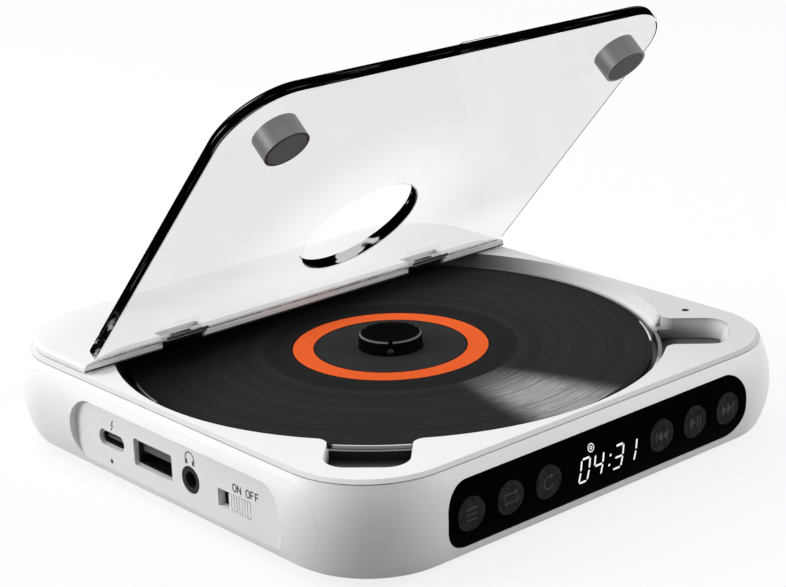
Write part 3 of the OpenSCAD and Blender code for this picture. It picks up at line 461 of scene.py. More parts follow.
# radii in millimetres from the disc's middle
discValues = {
    "label": grey(0.028),
    "plain": (grey(0.01275), grey(0.01725)),
    "ringTones": ((0.836, 0.125, 0.0273), (0.888, 0.133, 0.0290)),
    "ringIn": 17.85,
    "ringOut": 22.58,
    "outline": (0.42, 0.30),
    "outlineTone": (0.004, 0.005, 0.007),
    "grooveIn": 29.3,
    "grooveOut": 58.7,
    "grooveTones": (grey(0.017), grey(0.030)),
    "grooveTurn": (0.36, 0.66),
    "fine": 2.6,           # grooves per millimetre, fine and in bands
    "broad": 0.16,
    "tracks": (34.6, 41.8, 49.6, 55.4),
    "trackEdge": (0.16, 0.05),
    "trackTone": grey(0.010),
    "trackShare": 0.6,
    # painted sheen on the grooves
    "sheen": grey(0.47),
    "sheenAzimuth": -87.5,
    "sheenWidth": 18.0,
    "sheenRadius": (27, 46, 0.12, 1.0),
    "oppositeSheen": 0.06,
    "oppositeWider": 0.03,
    "flicker": (1.9, 60.0),
    "flickerTurn": (0.25, 0.75, 0.45, 1.05),
    "rim": grey(0.018),
    "rimFrom": 59.55,
    "rimLow": 19.6,
    # painted highlights on the rim
    "glints": ((164, 7), (-135, 8.3), (-37, 7)),    # azimuth and half width where the rim is lit
    "glintEdge": 0.002,
    "glintTone": grey(0.75),
    "topFrom": 20.2,
    "underTone": grey(0.012),
    # painted shade below the lid
    "belowLid": (12, 48),
    "belowLidLean": 0.35,
    "lidShadeTone": grey(0.0035),
}


def discFinish(v):
    f = Finish("discBlack")
    p = f.place()
    x, y, z = f.axes(p)
    y = y - discY
    r = f.length(f.join(x, y, 0.0))

    # cosine of the turn away from an azimuth
    def turnFrom(azimuth):
        a = math.radians(azimuth)
        return (x * math.cos(a) + y * math.sin(a)) / (r + 0.01)

    fine = f.noise(f.join(r * v["fine"], 0.0, 0.0), 1.0, 4, 0.8)
    broad = f.noise(f.join(r * v["broad"], 0.0, 3.0), 1.0, 2)
    grooves = f.mix(f.ease(fine * 0.5 + broad * 0.5, *v["grooveTurn"]), *v["grooveTones"])
    # painted sheen: side light caught by the grooves, painted into the colour in two opposite fans
    lean = turnFrom(v["sheenAzimuth"])
    spread = math.cos(math.radians(v["sheenWidth"]))
    perRadius, perTurn = v["flicker"]
    flicker = f.noise(f.join(r * perRadius, lean * perTurn, 0.0), 1.0, 3, 0.7)
    fan = f.ease(lean, spread, 1.0)
    fan = fan * fan + f.ease(lean * -1.0, spread - v["oppositeWider"], 1.0) * v["oppositeSheen"]
    fan = fan * f.ease(flicker, *v["flickerTurn"]) * f.ease(r, *v["sheenRadius"])
    grooves = f.mix(fan, grooves, v["sheen"])
    tracks = sum(f.ease(abs(r - track), *v["trackEdge"]) for track in v["tracks"])
    grooves = f.mix(tracks * v["trackShare"], grooves, v["trackTone"])
    grooved = (r > v["grooveIn"]) * (r < v["grooveOut"])
    color = f.mix(grooved, f.mix(f.spread(broad), *v["plain"]), grooves)
    color = f.mix(r > v["grooveOut"], color, v["rim"])
    # painted highlights where the rim catches the light
    for azimuth, width in v["glints"]:
        edge = math.cos(math.radians(width))
        caught = f.ease(turnFrom(azimuth), edge, edge + v["glintEdge"])
        color = f.mix((r > v["rimFrom"]) * caught * (z > v["rimLow"]), color, v["glintTone"])
    # the label and its outlined ring
    color = f.mix(r < v["ringIn"], color, v["label"])
    outline = f.ease(abs(r - v["ringIn"]), *v["outline"]) + f.ease(abs(r - v["ringOut"]), *v["outline"])
    color = f.mix(outline, color, v["outlineTone"])
    ring = (r > v["ringIn"]) * (r < v["ringOut"])
    color = f.mix(ring, color, f.mix(f.noise(p, 1.5, 3), *v["ringTones"]))
    color = f.mix((z > v["topFrom"]) + (r > v["rimFrom"]), v["underTone"], color)
    # painted shade: the side that lies below the lid is painted dimmer, for the lid's shade
    dim = f.ease(y - x * v["belowLidLean"], *v["belowLid"]) * (r > v["ringOut"])
    color = f.mix(dim, color, v["lidShadeTone"])
    height = f.mix(grooved, grey(0.5), f.pale(fine))
    return f.close(color=color, roughness=0.5, specular=0.006, normal=f.bump(height, 0.00002, 0.5))


hubValues = {
    "low": grey(0.00168),
    "high": grey(0.00616),
    "edge": grey(0.16),
    "edgeRadius": (6.80, 6.95),
    "edgeHeight": (23.18, 23.30),
    "grain": 3.0,
}


def hubFinish(v):
    f = Finish("hubBlack")
    p = f.place()
    x, y, z = f.axes(p)
    r = f.length(f.join(x, y - discY, 0.0))
    grain = f.noise(p, v["grain"], 3)
    # painted highlight round the chamfered top edge
    paintedEdgeGleam = f.ease(r, *v["edgeRadius"]) * f.ease(z, *v["edgeHeight"])
    color = f.mix(paintedEdgeGleam, f.mix(grain, v["low"], v["high"]), v["edge"])
    return f.close(color=color, roughness=0.5, specular=0.0, normal=f.bump(grain, 0.00002, 0.3))


def plasticFinish(name, low, high, scale=1.2, roughness=0.5, specular=0.25, grain=4.0):
    f = Finish(name)
    p = f.place()
    cloud = f.noise(p, scale, 3)
    fine = f.noise(p, grain, 2)
    return f.close(color=f.mix(f.spread(cloud), low, high), specular=specular,
                   roughness=f.vary(cloud, roughness - 0.05, roughness + 0.06),
                   normal=f.bump(fine, 0.00001, 0.4))


# bare metal with drawn scratches; the axes say how close they lie along x, y and z
def metalFinish(name, low, high, scratchAxes, roughness=0.32):
    f = Finish(name)
    p = f.place()
    stretched = f.node("ShaderNodeVectorMath", {"operation": "MULTIPLY"}, {0: p, 1: scratchAxes})
    scratch = f.noise(stretched, 1.0, 4, 0.7)
    cloud = f.noise(p, 0.3, 2)
    return f.close(color=f.mix(f.spread(scratch), low, high), metallic=1.0,
                   roughness=f.vary(cloud, roughness - 0.05, roughness + 0.08),
                   normal=f.bump(scratch, 0.000006, 0.5))


# the lid: a clear plate with black-looking edges; lengths are those of the closed lid
lidValues = {
    "open": 48.5,
    "axis": (0.0, 31.26, 24.8),
    "low": 23.4,
    "high": 26.2,
    "halfWidth": 62.7,
    "rear": 28.81,
    "length": 90.91,
    "frontRadius": 14.8,
    "rearRadius": 1.5,
    "hole": (0.0, discY, 15.4),
    "holePoints": 96,
    "edge": 0.30,
    "lipX": 3.6,
    "lipBack": 2.4,        # from the front edge
    "lipHalf": (6, 1.2),
    "lipRadius": 1.1,
    "lipHeight": 1.09,
    "rearLines": ((-61.6, -43.3), (-31.7, 31.7), (43.3, 61.6)),
    "darkLine": (0.05, 0.50),    # from the rear edge
    "whiteLine": (0.55, 0.95),
    "sideLine": (0.30, 0.62),    # from the right edge
    "sidePoints": (42, 58),
    "lineDrop": 0.02,
    "tint": ((0.40, 0.40, 0.42), (0.424, 0.424, 0.445)),
    "cover": (0.22, 0.26),
    "coverByHole": (14, 44, 0.30, 1.0),
    "coverByHinge": (12, 28, 0.42, 1.0),
    "haze": 0.02,
    "streak": (0.02, 0.05),
}
lidAngle = math.radians(lidValues["open"])
lidDown = (0.0, -math.cos(lidAngle), math.sin(lidAngle))    # along the open lid, away from the hinge
lidUp = (0.0, math.sin(lidAngle), math.cos(lidAngle))       # out of its upper face
hingeDown, hingeUp = Vector(lidValues["axis"]).dot(lidDown), Vector(lidValues["axis"]).dot(lidUp)


def onLid(x, y, z):
    ax, ay, az = lidValues["axis"]
    dy, dz = y - ay, z - az
    c, s = math.cos(lidAngle), math.sin(lidAngle)
    return (x * mm, (ay + dy * c + dz * s) * mm, (az - dy * s + dz * c) * mm)


def arcPoints(cx, cy, r, a0, a1, n):
    angles = [math.radians(a0 + (a1 - a0) * i / n) for i in range(n + 1)]
    return [(cx + r * math.cos(a), cy + r * math.sin(a)) for a in angles]


def lidOutline(v, inset):
    w, rear, front = v["halfWidth"] - inset, v["rear"] - inset, v["rear"] - v["length"] + inset
    fr, rr = v["frontRadius"] - inset, v["rearRadius"] - inset
    return (arcPoints(-w + fr, front + fr, fr, 180, 270, 28)
            + arcPoints(w - fr, front + fr, fr, 270, 360, 28)
            + arcPoints(w - rr, rear - rr, rr, 0, 90, 6)
            + arcPoints(-w + rr, rear - rr, rr, 90, 180, 6))


def newPiece(name, bm, materials, body, smooth=True):
    mesh = bpy.data.meshes.new(name)
    bm.to_mesh(mesh)
    bm.free()
    for m in materials:
        mesh.materials.append(m)
    for face in mesh.polygons:
        face.use_smooth = smooth
    piece = bpy.data.objects.new(name, mesh)
    bpy.context.scene.collection.objects.link(piece)
    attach(piece, body)
    return piece


# walls between closed rings of points, with a material number for each wall
def skin(bm, rings, numbers):
    for (a, b), number in zip(zip(rings, rings[1:]), numbers):
        for i in range(len(a)):
            j = (i + 1) % len(a)
            face = bm.faces.new((a[i], a[j], b[j], b[i]))
            face.material_index = number


def lidClearFinish(v):
    f = Finish("lidClear")
    p = f.place()
    haze = f.noise(p, v["haze"], 2)
    across, down = f.axes(p)[0], f.along(p, lidDown)
    fromSide, slanting = v["streak"]
    streak = f.noise(f.join(across * fromSide, (across + down) * slanting, 0.0), 1.0, 2)
    holeX, holeY, holeRadius = v["hole"]
    holeDown = Vector(onLid(holeX, holeY, v["low"])).dot(lidDown) / mm
    away = f.length(f.join(across - holeX, down - holeDown, 0.0))
    alpha = f.spread(haze * 0.5 + streak * 0.5, *v["cover"])
    alpha = alpha * f.ease(away, *v["coverByHole"]) * f.ease(down - hingeDown, *v["coverByHinge"])
    return f.close(color=f.mix(haze, *v["tint"]), roughness=0.04, alpha=alpha * f.outerSide(), specular=0.3)


# noise scales are per millimetre along, or across, the edge and through the plate
rimValues = {
    "dark": grey(0.001),
    "glint": grey(0.75),
    "thin": (0.05, 3.0),
    "thinTurn": (0.62, 0.70),
    "thinShare": 0.12,
    "corner": 84.0,              # from the hinge
    "cornerLength": (9.0, 4.0),
    "cornerSide": (52.0, 56.0),
    "cornerShare": 0.6,
    "cross": (0.16, 0.35),
    "crossTurn": (0.50, 0.60),
    "crossLength": (22.0, 10.0),
    "crossShare": 0.8,
    "holeGlint": grey(0.85),
    "swirl": (0.13, 0.10, 0.35),
    "swirlTurn": (0.55, 0.60),
    "swirlShare": 0.95,
    "line": (0.015, 0.015, 1.6),
    "lineTurn": (0.60, 0.64),
    "lineShare": 0.7,
}


def lidRimFinish(v):
    f = Finish("lidRim")
    p = f.place()
    x, down, up = f.axes(p)[0], f.along(p, lidDown), f.along(p, lidUp)
    # painted highlights: thin lengthwise glints, stronger at the front corners, and crosswise ones close to
    # the hinge, on an edge painted black for the dark reflections in a clear plate's edge
    along, through = v["thin"]
    thin = f.noise(f.join((x + down) * along, up * through, x * along), 1.0, 2)
    across, through = v["cross"]
    cross = f.noise(f.join((x - down) * across, (x + down) * across + up * through, 0.0), 1.0, 3, 0.6)
    away = down - hingeDown
    corner = f.ease(abs(away - v["corner"]), *v["cornerLength"]) * f.ease(abs(x), *v["cornerSide"])
    mask = f.ease(thin, *v["thinTurn"]) * (corner * v["cornerShare"] + v["thinShare"])
    mask = mask + f.ease(cross, *v["crossTurn"]) * f.ease(away, *v["crossLength"]) * v["crossShare"]
    return f.close(color=f.mix(mask, v["dark"], v["glint"]), roughness=0.2, specular=0.0,
                   alpha=f.outerSide())


# the hole's edge is painted black for the dark reflections in a clear edge, with painted highlights in
# swirls and lines
def lidHoleFinish(v):
    f = Finish("lidHoleRim")
    p = f.place()
    place = (f.axes(p)[0], f.along(p, lidDown), f.along(p, lidUp))
    swirl = f.noise(f.join(*[a * scale for a, scale in zip(place, v["swirl"])]), 1.0, 2, 0.5)
    line = f.noise(f.join(*[a * scale for a, scale in zip(place, v["line"])]), 1.0, 2)
    mask = f.ease(swirl, *v["swirlTurn"]) * v["swirlShare"] + f.ease(line, *v["lineTurn"]) * v["lineShare"]
    return f.close(color=f.mix(mask, v["dark"], v["holeGlint"]), roughness=0.2, specular=0.0,
                   alpha=f.outerSide())


# painted highlight: near-white bands on the lid's lower bevels, the lip's sides and the rear edge line,
# glowing a little though they are no lamp
gleamValues = {"cloud": 0.15, "turn": (0.35, 0.6), "tones": (grey(0.75), grey(0.95)),
               "glow": (grey(0.8), grey(1.0)), "glowStrength": 0.3}


def lidGleamFinish(v):
    f = Finish("lidGleam")
    tone = f.ease(f.noise(f.place(), v["cloud"], 3), *v["turn"])
    return f.close(color=f.mix(tone, *v["tones"]), roughness=0.15, specular=0.3,
                   glow=f.mix(tone, *v["glow"]), glowStrength=v["glowStrength"])


def buildLid(v):
    bm = bmesh.new()
    e, high, low = v["edge"], v["high"], v["low"]
    hx, hy, hr = v["hole"]
    n = v["holePoints"]
    clear, rim, holeRim, gleam = range(4)

    def ring(points, z):
        return [bm.verts.new(onLid(x, y, z)) for x, y in points]

    # from the upper face round the bevelled edge to the lower face
    def rimRings(outline):
        turns = ((e, high), (e * 0.3, high - e * 0.3), (0, high - e),
                 (0, low + e), (e * 0.3, low + e * 0.3), (e, low))
        return [ring(outline(inset), z) for inset, z in turns]

    outer = rimRings(lambda inset: lidOutline(v, inset))
    hole = rimRings(lambda inset: arcPoints(hx, hy, hr + inset, 0, 360 * (n - 1) / n, n - 1))
    skin(bm, outer, (rim, rim, rim, rim, gleam))
    skin(bm, [list(reversed(r)) for r in hole], (clear, holeRim, holeRim, holeRim, gleam))
    for level in (0, -1):
        edges = []
        for loop in (outer[level], hole[level]):
            for i, vert in enumerate(loop):
                edges.append(bm.edges.get((vert, loop[(i + 1) % len(loop)])))
        made = bmesh.ops.triangle_fill(bm, edges=edges, use_beauty=True)
        for item in made["geom"]:
            if isinstance(item, bmesh.types.BMFace):
                item.material_index = clear

    # finger lip near the front edge
    lipY, lipTop, lipX = v["rear"] - v["length"] + v["lipBack"], high + v["lipHeight"], v["lipX"]

    def lipRing(inset, z):
        w, d, r = v["lipHalf"][0] - inset, v["lipHalf"][1] - inset, max(v["lipRadius"] - inset, 0.2)
        left, right, near, far = lipX - w + r, lipX + w - r, lipY - d + r, lipY + d - r
        return ring(arcPoints(left, near, r, 180, 270, 6) + arcPoints(right, near, r, 270, 360, 6)
                    + arcPoints(right, far, r, 0, 90, 6) + arcPoints(left, far, r, 90, 180, 6), z)

    lip = [lipRing(0.3, lipTop), lipRing(0.08, lipTop - 0.08), lipRing(0, lipTop - 0.3), lipRing(0, high)]
    skin(bm, lip, (rim, rim, gleam))
    top = bm.faces.new(lip[0])
    top.material_index = rim
    bmesh.ops.recalc_face_normals(bm, faces=bm.faces)
    # the edge along the hinge is clear
    for face in bm.faces:
        if face.normal.dot(lidDown) < -0.6 and face.calc_center_median().dot(lidDown) < 2 * mm:
            face.material_index = clear

    # painted shade and highlight lines lying on the inner face: dark and white along the rear, dark down
    # the right
    def strip(corners, number):
        face = bm.faces.new([bm.verts.new(onLid(x, y, low - v["lineDrop"])) for x, y in corners])
        face.normal_update()
        if face.normal.dot(lidUp) > 0:
            face.normal_flip()
        face.material_index = number

    for x0, x1 in v["rearLines"]:
        for line, number in (("darkLine", rim), ("whiteLine", gleam)):
            y0, y1 = (v["rear"] - inset for inset in v[line])
            strip([(x0, y0), (x1, y0), (x1, y1), (x0, y1)], number)
    outside, inside = (lidOutline(v, inset) for inset in v["sideLine"])
    for i in range(*v["sidePoints"]):
        strip([inside[i], outside[i], outside[i + 1], inside[i + 1]], rim)
    looks = [lidClearFinish(v), lidRimFinish(rimValues), lidHoleFinish(rimValues),
             lidGleamFinish(gleamValues)]
    lid = newPiece("lidPlate", bm, looks, "lid", smooth=False)
    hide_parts("lid_panel")


buildLid(lidValues)
print("lid built")


footValues = {
    "low": grey(0.115),
    "high": grey(0.22),
    "turned": 9.0,         # turning marks per millimetre
    "cloud": 0.2,
    "roughness": (0.33, 0.42),
}


def footFinish(v):
    f = Finish("footMetal")
    p = f.place()
    turned = f.noise(f.join(f.along(p, lidUp) * v["turned"], 0.0, 0.0), 1.0, 3, 0.7)
    cloud = f.noise(p, v["cloud"], 2)
    return f.close(color=f.mix(turned, v["low"], v["high"]), metallic=0.85,
                   roughness=f.vary(cloud, *v["roughness"]), normal=f.bump(turned, 0.00001, 0.5))


padValues = {"low": grey(0.0935), "high": grey(0.221), "cell": 0.62, "turn": (-0.5, 0.7)}


# woven pads under the feet
def padFinish(v):
    f = Finish("footPad")
    p = f.place()
    k = 2 * math.pi / v["cell"]
    weave = (f.axes(p)[0] * k).sine() * (f.along(p, lidDown) * k).sine()
    weave = f.ease(weave, *v["turn"])
    return f.close(color=f.mix(weave, v["low"], v["high"]), roughness=0.7, specular=0.1,
                   normal=f.bump(weave, 0.00004, 0.6))


# hinge arms: heights are measured out of the open lid, and lengths along it
armValues = {
    "inner": 38.6,         # below this it lies on the lid's inner face
    "black": (grey(0.006), grey(0.014)),
    "cloud": 1.2,
    "streaksFrom": 1.05,
    "streak": 4.0,
    "streakTones": (grey(0.02), grey(0.12)),
    "line": 0.85,
    "lineEdge": (0.2, 0.14),
    "lineTone": grey(0.8),
    "knuckle": 1.4,
    "topFrom": 25.0,
    "topTone": grey(0.6),
    "wrapCover": 0.03,
}


# a dark clip with a white line on the lid's inner face, clear where it wraps the plate
def armFinish(v):
    f = Finish("hingeArm")
    p = f.place()
    down, up = f.along(p, lidDown), f.along(p, lidUp)
    inner = up < v["inner"]
    color = f.mix(f.noise(p, v["cloud"], 3), *v["black"])
    streak = f.noise(f.join(0.0, 0.0, down * v["streak"]), 1.0, 2)
    color = f.mix((down > v["streaksFrom"]) * inner, color, f.mix(streak, *v["streakTones"]))
    color = f.mix(f.ease(abs(down - v["line"]), *v["lineEdge"]) * inner, color, v["lineTone"])
    color = f.mix((1.0 - inner) * (f.axes(p)[2] > v["topFrom"]), color, v["topTone"])
    knuckle = f.length(f.join(down - hingeDown, up - hingeUp, 0.0)) < v["knuckle"]
    alpha = f.ease(inner.atLeast(knuckle), 0.0, 1.0, v["wrapCover"], 1.0)
    return f.close(color=color, roughness=0.4, specular=0.1, alpha=alpha)


bracketValues = {"black": (grey(0.006), grey(0.014)), "pale": (grey(0.55), grey(0.65)), "paleFrom": 25.0}


def bracketFinish(v):
    f = Finish("hingeBracket")
    p = f.place()
    cloud = f.noise(p, 1.2, 3)
    upper = f.axes(p)[2] > v["paleFrom"]
    return f.close(color=f.mix(upper, f.mix(cloud, *v["black"]), f.mix(cloud, *v["pale"])),
                   roughness=0.4, specular=0.1)


# sockets and inner parts
socketValues = {
    "rim": (0.55, 0.55, 0.56),
    "rimDepth": (-65.75, -65.3),
    "deepShade": grey(0.004),
    "tongue": grey(0.03),
    "tongueZ": 11.4,
    "tongueEdge": (1.4, 1.2),
}


def socketFinish(v):
    f = Finish("socketShell")
    p = f.place()
    x, y, z = f.axes(p)
    # painted shade: the socket is painted black further in, from its light metal rim
    depth = f.ease(x, *v["rimDepth"])
    grain = f.noise(p, 2.0, 3)
    tongue = f.ease(abs(z - v["tongueZ"]), *v["tongueEdge"]) * f.spread(grain, 0.7, 1.0)
    inner = f.mix(tongue, v["deepShade"], v["tongue"])
    return f.close(color=f.mix(depth, v["rim"], inner), metallic=1.0 - depth, roughness=0.35)


boardValues = {
    "mask": (0.008, 0.07, 0.03),
    "trace": (0.02, 0.14, 0.06),
    "traceScale": 0.35,
    "traceWidth": 0.06,
    "pad": (0.6, 0.45, 0.2),
    "padScale": 0.45,
    "padEdge": (0.20, 0.16),
    "roughness": (0.35, 0.5),
}


def boardFinish(v):
    f = Finish("boardGreen")
    p = f.place()
    weave = f.noise(p, 1.4, 2)
    bricks = {"Vector": p, "Scale": v["traceScale"], "Mortar Size": v["traceWidth"]}
    lanes = f.node("ShaderNodeTexBrick", None, bricks, "Fac")
    dots = f.node("ShaderNodeTexVoronoi", None, {"Vector": p, "Scale": v["padScale"]}, "Distance")
    color = f.mix(lanes, v["mask"], v["trace"])
    color = f.mix(f.ease(dots, *v["padEdge"]), color, v["pad"])
    return f.close(color=color, roughness=f.vary(weave, *v["roughness"]),
                   normal=f.bump(lanes, 0.00003, 0.4))


foilValues = {"crease": 0.35, "tones": (grey(0.42), grey(0.62)), "creaseHeight": 0.0002}


def foilFinish(v):
    f = Finish("batteryFoil")
    crease = f.noise(f.place(), v["crease"], 5, 0.65)
    return f.close(color=f.mix(crease, *v["tones"]), metallic=0.8, roughness=0.35,
                   normal=f.bump(crease, v["creaseHeight"], 0.6))


def glowFinish(name, shade, strength):
    f = Finish(name)
    flicker = f.noise(f.place(), 1.5, 2)
    return f.close(color=grey(0.05), roughness=0.5, glow=f.mix(flicker, [c * 0.94 for c in shade], shade),
                   glowStrength=strength)


def printFinish(name, low, high):
    f = Finish(name)
    ink = f.noise(f.place(), 4.0, 3, 0.7)
    return f.close(color=f.mix(f.ease(ink, 0.3, 0.6), low, high), roughness=0.6, specular=0.1)


lensValues = {"blue": (0.05, 0.09, 0.16), "violet": (0.12, 0.10, 0.20), "film": 0.8}


def lensFinish(v):
    f = Finish("lensCoat")
    film = f.noise(f.place(), v["film"], 2)
    return f.close(color=f.mix(film, v["blue"], v["violet"]), roughness=0.05, coat=0.6)


finishes = {
    "deck": shellFinish("shellWhiteDeck", shellValues, deckPaint),
    "side": shellFinish("shellWhiteSide", shellValues, sidePaint),
    "rear": shellFinish("shellWhiteRear", shellValues, rearPaint),
    "shell": shellFinish("shellWhitePlain", shellValues),
    "window": windowFinish(windowValues),
    "button": buttonFinish(buttonValues),
    "disc": discFinish(discValues),
    "hub": hubFinish(hubValues),
    "foot": footFinish(footValues),
    "pad": padFinish(padValues),
    "hinge": bracketFinish(bracketValues),
    "arm": armFinish(armValues),
    "inner": plasticFinish("innerBlack", grey(0.006), grey(0.014), roughness=0.55, specular=0.15),
    "rubber": plasticFinish("rubberGrey", grey(0.035), grey(0.055), scale=0.8, roughness=0.75,
                            specular=0.15),
    "steel": metalFinish("turnedSteel", grey(0.45), grey(0.62), (0.4, 3.0, 3.0)),
    "frame": metalFinish("chassisZinc", grey(0.28), grey(0.40), (0.8, 0.8, 2.0), roughness=0.42),
    "ball": plasticFinish("ballDark", grey(0.012), grey(0.03), roughness=0.3, specular=0.1),
    "socket": socketFinish(socketValues),
    "switch": plasticFinish("switchBody", grey(0.015), grey(0.04), roughness=0.5, specular=0.1),
    "knob": plasticFinish("knobWhite", grey(0.78), grey(0.86), roughness=0.45),
    "magnet": metalFinish("magnetNickel", grey(0.40), grey(0.58), (1.5, 1.5, 1.5), roughness=0.3),
    "foil": foilFinish(foilValues),
    "board": boardFinish(boardValues),
    "led": glowFinish("chargeAmber", (0.9, 0.35, 0.05), 0.4),
    "pipe": plasticFinish("lightPipe", grey(0.012), grey(0.03), roughness=0.2, specular=0.5),
    "lens": lensFinish(lensValues),
}

nodeFinishes = {
    "deck": ["top_cover"],
    "side": ["side_shell"],
    "rear": ["rear_cover"],
    "shell": ["bottom_cover"],
    "window": ["display_window"],
    "button": ["button_menu", "button_repeat", "button_loop", "button_previous", "button_play",
               "button_next"],
    "disc": ["disc"],
    "hub": ["turntable"],
    "foot": ["lid_foot_left", "lid_foot_right"],
    "pad": ["lid_pad_left", "lid_pad_right"],
    "hinge": ["hinge_bracket_left", "hinge_bracket_right"],
    "arm": ["hinge_arm_left", "hinge_arm_right"],
    "inner": ["display_module", "headphone_socket", "lid_sensor", "sled", "lens_holder"],
    "rubber": ["feet", "dampers"],
    "steel": ["case_screws", "rear_cover_screws", "board_screws", "damper_screws", "hinge_pin_left",
              "hinge_pin_right", "main_rod", "side_rod", "lead_screw", "spindle_shaft"],
    "ball": ["disc_balls"],
    "frame": ["chassis", "spindle_motor", "sled_motor", "key_switches"],
    "socket": ["usb_c_socket", "usb_a_socket"],
    "switch": ["mode_switch"],
    "knob": ["switch_knob", "screw_bearing", "screw_follower"],
    "magnet": ["catch_magnets"],
    "foil": ["battery"],
    "board": ["main_board", "key_board"],
    "led": ["charge_light"],
    "pipe": ["light_pipe"],
    "lens": ["lens"],
}
for finishName, members in nodeFinishes.items():
    for member in members:
        mesh = nodes[member].data
        mesh.materials.clear()
        mesh.materials.append(finishes[finishName])
undressed = set(nodes) - {n for members in nodeFinishes.values() for n in members} - {"lid_panel"}
print("materials on", sum(len(m) for m in nodeFinishes.values()), "nodes, left:", sorted(undressed))


# marks are thin shapes laid on the bowed front and on the flat port panel
frontValues = {"arcY": 46.7, "arcZ": 12.5, "arcR": 20.8, "lift": 0.03, "buttonZ": 12.1}
sideValues = {"x": -66.4, "lift": 0.03}


def onFront(x, z, lift=frontValues["lift"]):
    v = frontValues
    y = -v["arcY"] - math.sqrt((v["arcR"] + lift) ** 2 - (z - v["arcZ"]) ** 2)
    return (x * mm, y * mm, z * mm)


def onSide(y, z):
    return ((sideValues["x"] - sideValues["lift"]) * mm, y * mm, z * mm)


# a line of even width through points, laid on the part by place(u, v)
def ribbon(bm, points, width, place, closed=False, step=0.5):
    if closed:
        points = points + [points[0]]
    fine = [points[0]]
    for a, b in zip(points, points[1:]):
        cuts = max(1, int(math.dist(a, b) / step))
        for i in range(1, cuts + 1):
            fine.append((a[0] + (b[0] - a[0]) * i / cuts, a[1] + (b[1] - a[1]) * i / cuts))
    rows = []
    last = len(fine) - 1
    for i, (u, v) in enumerate(fine):
        before = fine[i - 1] if i else (fine[last - 1] if closed else fine[0])
        after = fine[i + 1] if i < last else (fine[1] if closed else fine[last])
        tx, ty = after[0] - before[0], after[1] - before[1]
        size = math.hypot(tx, ty) or 1
        nx, ny = -ty / size * width / 2, tx / size * width / 2
        rows.append((bm.verts.new(place(u + nx, v + ny)), bm.verts.new(place(u - nx, v - ny))))
    for (a, b), (c, d) in zip(rows, rows[1:]):
        bm.faces.new((a, b, d, c))


def patch(bm, points, place):
    bm.faces.new([bm.verts.new(place(u, v)) for u, v in points])


digitValues = {
    "shown": "0431",
    "cells": (-7.0, -2.9, 3.2, 7.3),
    "low": 8.9,
    "height": 5.2,
    "width": 2.5,
    "stroke": 0.46,
    "gap": 0.36,           # of the stroke, at a segment's ends
    "lean": 0.14,
    "colonX": 0.55,
    "colonHeights": (1.5, 3.7),
    "colonRadius": 0.3,
    "symbol": (-4.6, 15.9),
    "symbolRings": ((0.85, 24, 0.22), (0.306, 12, 0.20)),    # radius, points, line
    "white": (0.93, 0.95, 1.0),
    "glow": 1.0,
}
segmentsOn = {"0": "abcdef", "1": "bc", "2": "abged", "3": "abgcd", "4": "fgbc", "5": "afgcd",
              "6": "afgedc", "7": "abc", "8": "abcdefg", "9": "abcdfg"}


def buildDigits(v):
    bm = bmesh.new()
    w, h, t = v["width"], v["height"], v["stroke"]
    ends = {"a": ((0, h), (w, h)), "b": ((w, h), (w, h / 2)), "c": ((w, h / 2), (w, 0)),
            "d": ((0, 0), (w, 0)), "e": ((0, h / 2), (0, 0)), "f": ((0, h), (0, h / 2)),
            "g": ((0, h / 2), (w, h / 2))}

    def leaning(x0):
        return lambda u, s: onFront(x0 + u + s * v["lean"], v["low"] + s)

    # a six-sided bar from a to b
    def bar(a, b):
        size = math.dist(a, b)
        dx, dz = (b[0] - a[0]) / size, (b[1] - a[1]) / size
        g, k = t * v["gap"], t / 2
        ax, az, bx, bz = a[0] + dx * g, a[1] + dz * g, b[0] - dx * g, b[1] - dz * g
        along, across = (dx * k, dz * k), (-dz * k, dx * k)
        return [(ax, az),
                (ax + along[0] + across[0], az + along[1] + across[1]),
                (bx - along[0] + across[0], bz - along[1] + across[1]),
                (bx, bz),
                (bx - along[0] - across[0], bz - along[1] - across[1]),
                (ax + along[0] - across[0], az + along[1] - across[1])]

    for cell, digit in zip(v["cells"], v["shown"]):
        for key in segmentsOn[digit]:
            patch(bm, bar(*ends[key]), leaning(cell - w / 2))
    for level in v["colonHeights"]:
        patch(bm, arcPoints(v["colonX"], level, v["colonRadius"], 0, 315, 7), leaning(0.0))
    cx, cz = v["symbol"]
    for radius, count, line in v["symbolRings"]:
        circle = arcPoints(cx, cz, radius, 0, 360 * (count - 1) / count, count - 1)
        ribbon(bm, circle, line, onFront, closed=True, step=2)
    bmesh.ops.recalc_face_normals(bm, faces=bm.faces)
    return newPiece("displayDigits", bm, [glowFinish("digitWhite", v["white"], v["glow"])], "case")


buildDigits(digitValues)


def triangle(u, size, side):
    return [(u, size), (u, -size), (u + side * size * 1.25, 0)]


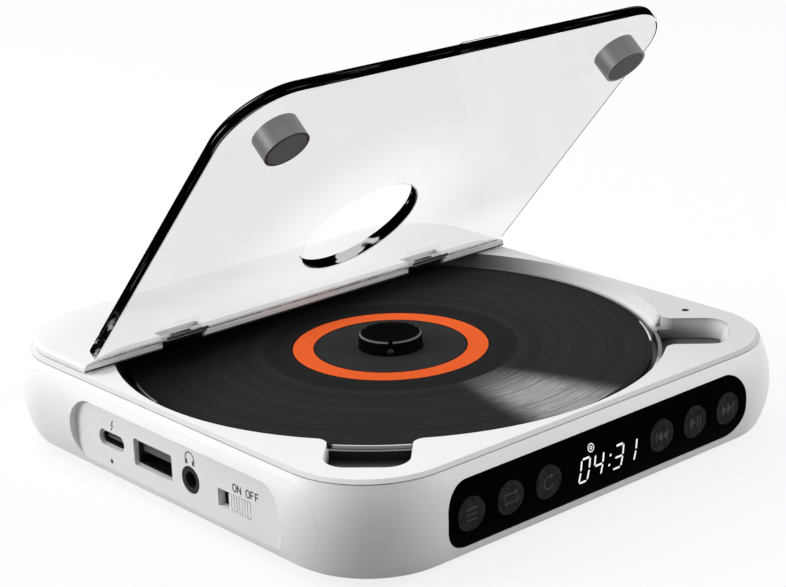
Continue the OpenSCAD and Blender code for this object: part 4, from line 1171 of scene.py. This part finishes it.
# for each button its x, then lines and filled shapes measured from its middle
iconValues = {
    "line": 0.30,
    "low": grey(0.030),
    "high": grey(0.075),
    "icons": {
        "Menu": (-38.8, [[(-1.5, z), (1.5, z)] for z in (1.2, 0, -1.2)], []),
        "Repeat": (-28.0,
                   [[(-1.7, -0.2), (-1.7, 1.0), (1.1, 1.0)], [(1.7, 0.2), (1.7, -1.0), (-1.1, -1.0)]],
                   [[(1.0, 1.6), (1.0, 0.4), (1.9, 1.0)], [(-1.0, -1.6), (-1.0, -0.4), (-1.9, -1.0)]]),
        "Loop": (-17.2, [arcPoints(0, 0, 1.4, 60, 340, 24)], [[(0.5, 1.8), (0.3, 0.7), (1.5, 1.2)]]),
        "Previous": (17.2, [[(-1.8, 1.2), (-1.8, -1.2)]], [triangle(0.1, 1.2, -1), triangle(1.8, 1.2, -1)]),
        "Play": (28.0, [[(0.7, 1.2), (0.7, -1.2)], [(1.6, 1.2), (1.6, -1.2)]], [triangle(-1.6, 1.3, 1)]),
        "Next": (38.8, [[(1.8, 1.2), (1.8, -1.2)]], [triangle(-1.8, 1.2, 1), triangle(-0.1, 1.2, 1)]),
    },
}


def buildIcons(v):
    ink = printFinish("buttonMarks", v["low"], v["high"])
    for word, (x, lines, shapes) in v["icons"].items():
        bm = bmesh.new()

        def onButton(u, s):
            return onFront(x + u, frontValues["buttonZ"] + s, lift=0.0)

        for points in lines:
            ribbon(bm, points, v["line"], onButton)
        for points in shapes:
            patch(bm, points, onButton)
        bmesh.ops.recalc_face_normals(bm, faces=bm.faces)
        newPiece("mark" + word, bm, [ink], "button_" + word.lower())


buildIcons(iconValues)
print("digits and button marks placed")

portValues = {
    "low": grey(0.018),
    "high": grey(0.05),
    "line": 0.26,
    "bolt": [(0.55, 1.3), (-0.45, -0.15), (0.45, 0.15), (-0.55, -1.3)],
    "boltAt": (17.4, 15.0),
    "phonesAt": (-11.3, 15.7),
    "bandRadius": 1.5,
    "bandFoot": -1.3,
    "cup": (1.05, -0.2),
    "cupLine": 0.416,
    "words": (("ON", -26.0), ("OFF", -30.4)),
    "wordsZ": 13.0,
    "letter": 1.7,         # height
    "letterStep": 1.5405,
    "letterLine": 0.16,
}
# strokes in a cell one letter high
letterLines = {
    "O": [[(0, 0.25), (0, 0.75), (0.15, 0.93), (0.35, 1), (0.5, 0.93), (0.65, 0.75), (0.65, 0.25),
           (0.5, 0.07), (0.35, 0), (0.15, 0.07), (0, 0.25)]],
    "N": [[(0, 0), (0, 1)], [(0, 1), (0.65, 0)], [(0.65, 0), (0.65, 1)]],
    "F": [[(0, 0), (0, 1)], [(0, 1), (0.6, 1)], [(0, 0.52), (0.5, 0.52)]],
}


def buildPortMarks(v):
    bm = bmesh.new()

    def spot(y0, z0, scale=1.0):
        return lambda u, s: onSide(y0 - u * scale, z0 + s * scale)

    ribbon(bm, v["bolt"], v["line"], spot(*v["boltAt"]))
    phones, band, foot = spot(*v["phonesAt"]), v["bandRadius"], v["bandFoot"]
    cupX, cupTop = v["cup"]
    ribbon(bm, arcPoints(0, 0, band, 0, 180, 20), v["line"], phones)
    for s in (-1, 1):
        ribbon(bm, [(s * band, 0), (s * band, foot)], v["line"], phones)
        ribbon(bm, [(s * cupX, cupTop), (s * cupX, foot)], v["cupLine"], phones)
    for word, y0 in v["words"]:
        for i, letter in enumerate(word):
            cell = spot(y0 - i * v["letterStep"], v["wordsZ"], v["letter"])
            for points in letterLines[letter]:
                ribbon(bm, points, v["letterLine"], cell)
    bmesh.ops.recalc_face_normals(bm, faces=bm.faces)
    return newPiece("portMarks", bm, [printFinish("portMarks", v["low"], v["high"])], "case")


buildPortMarks(portValues)
print("port marks placed")
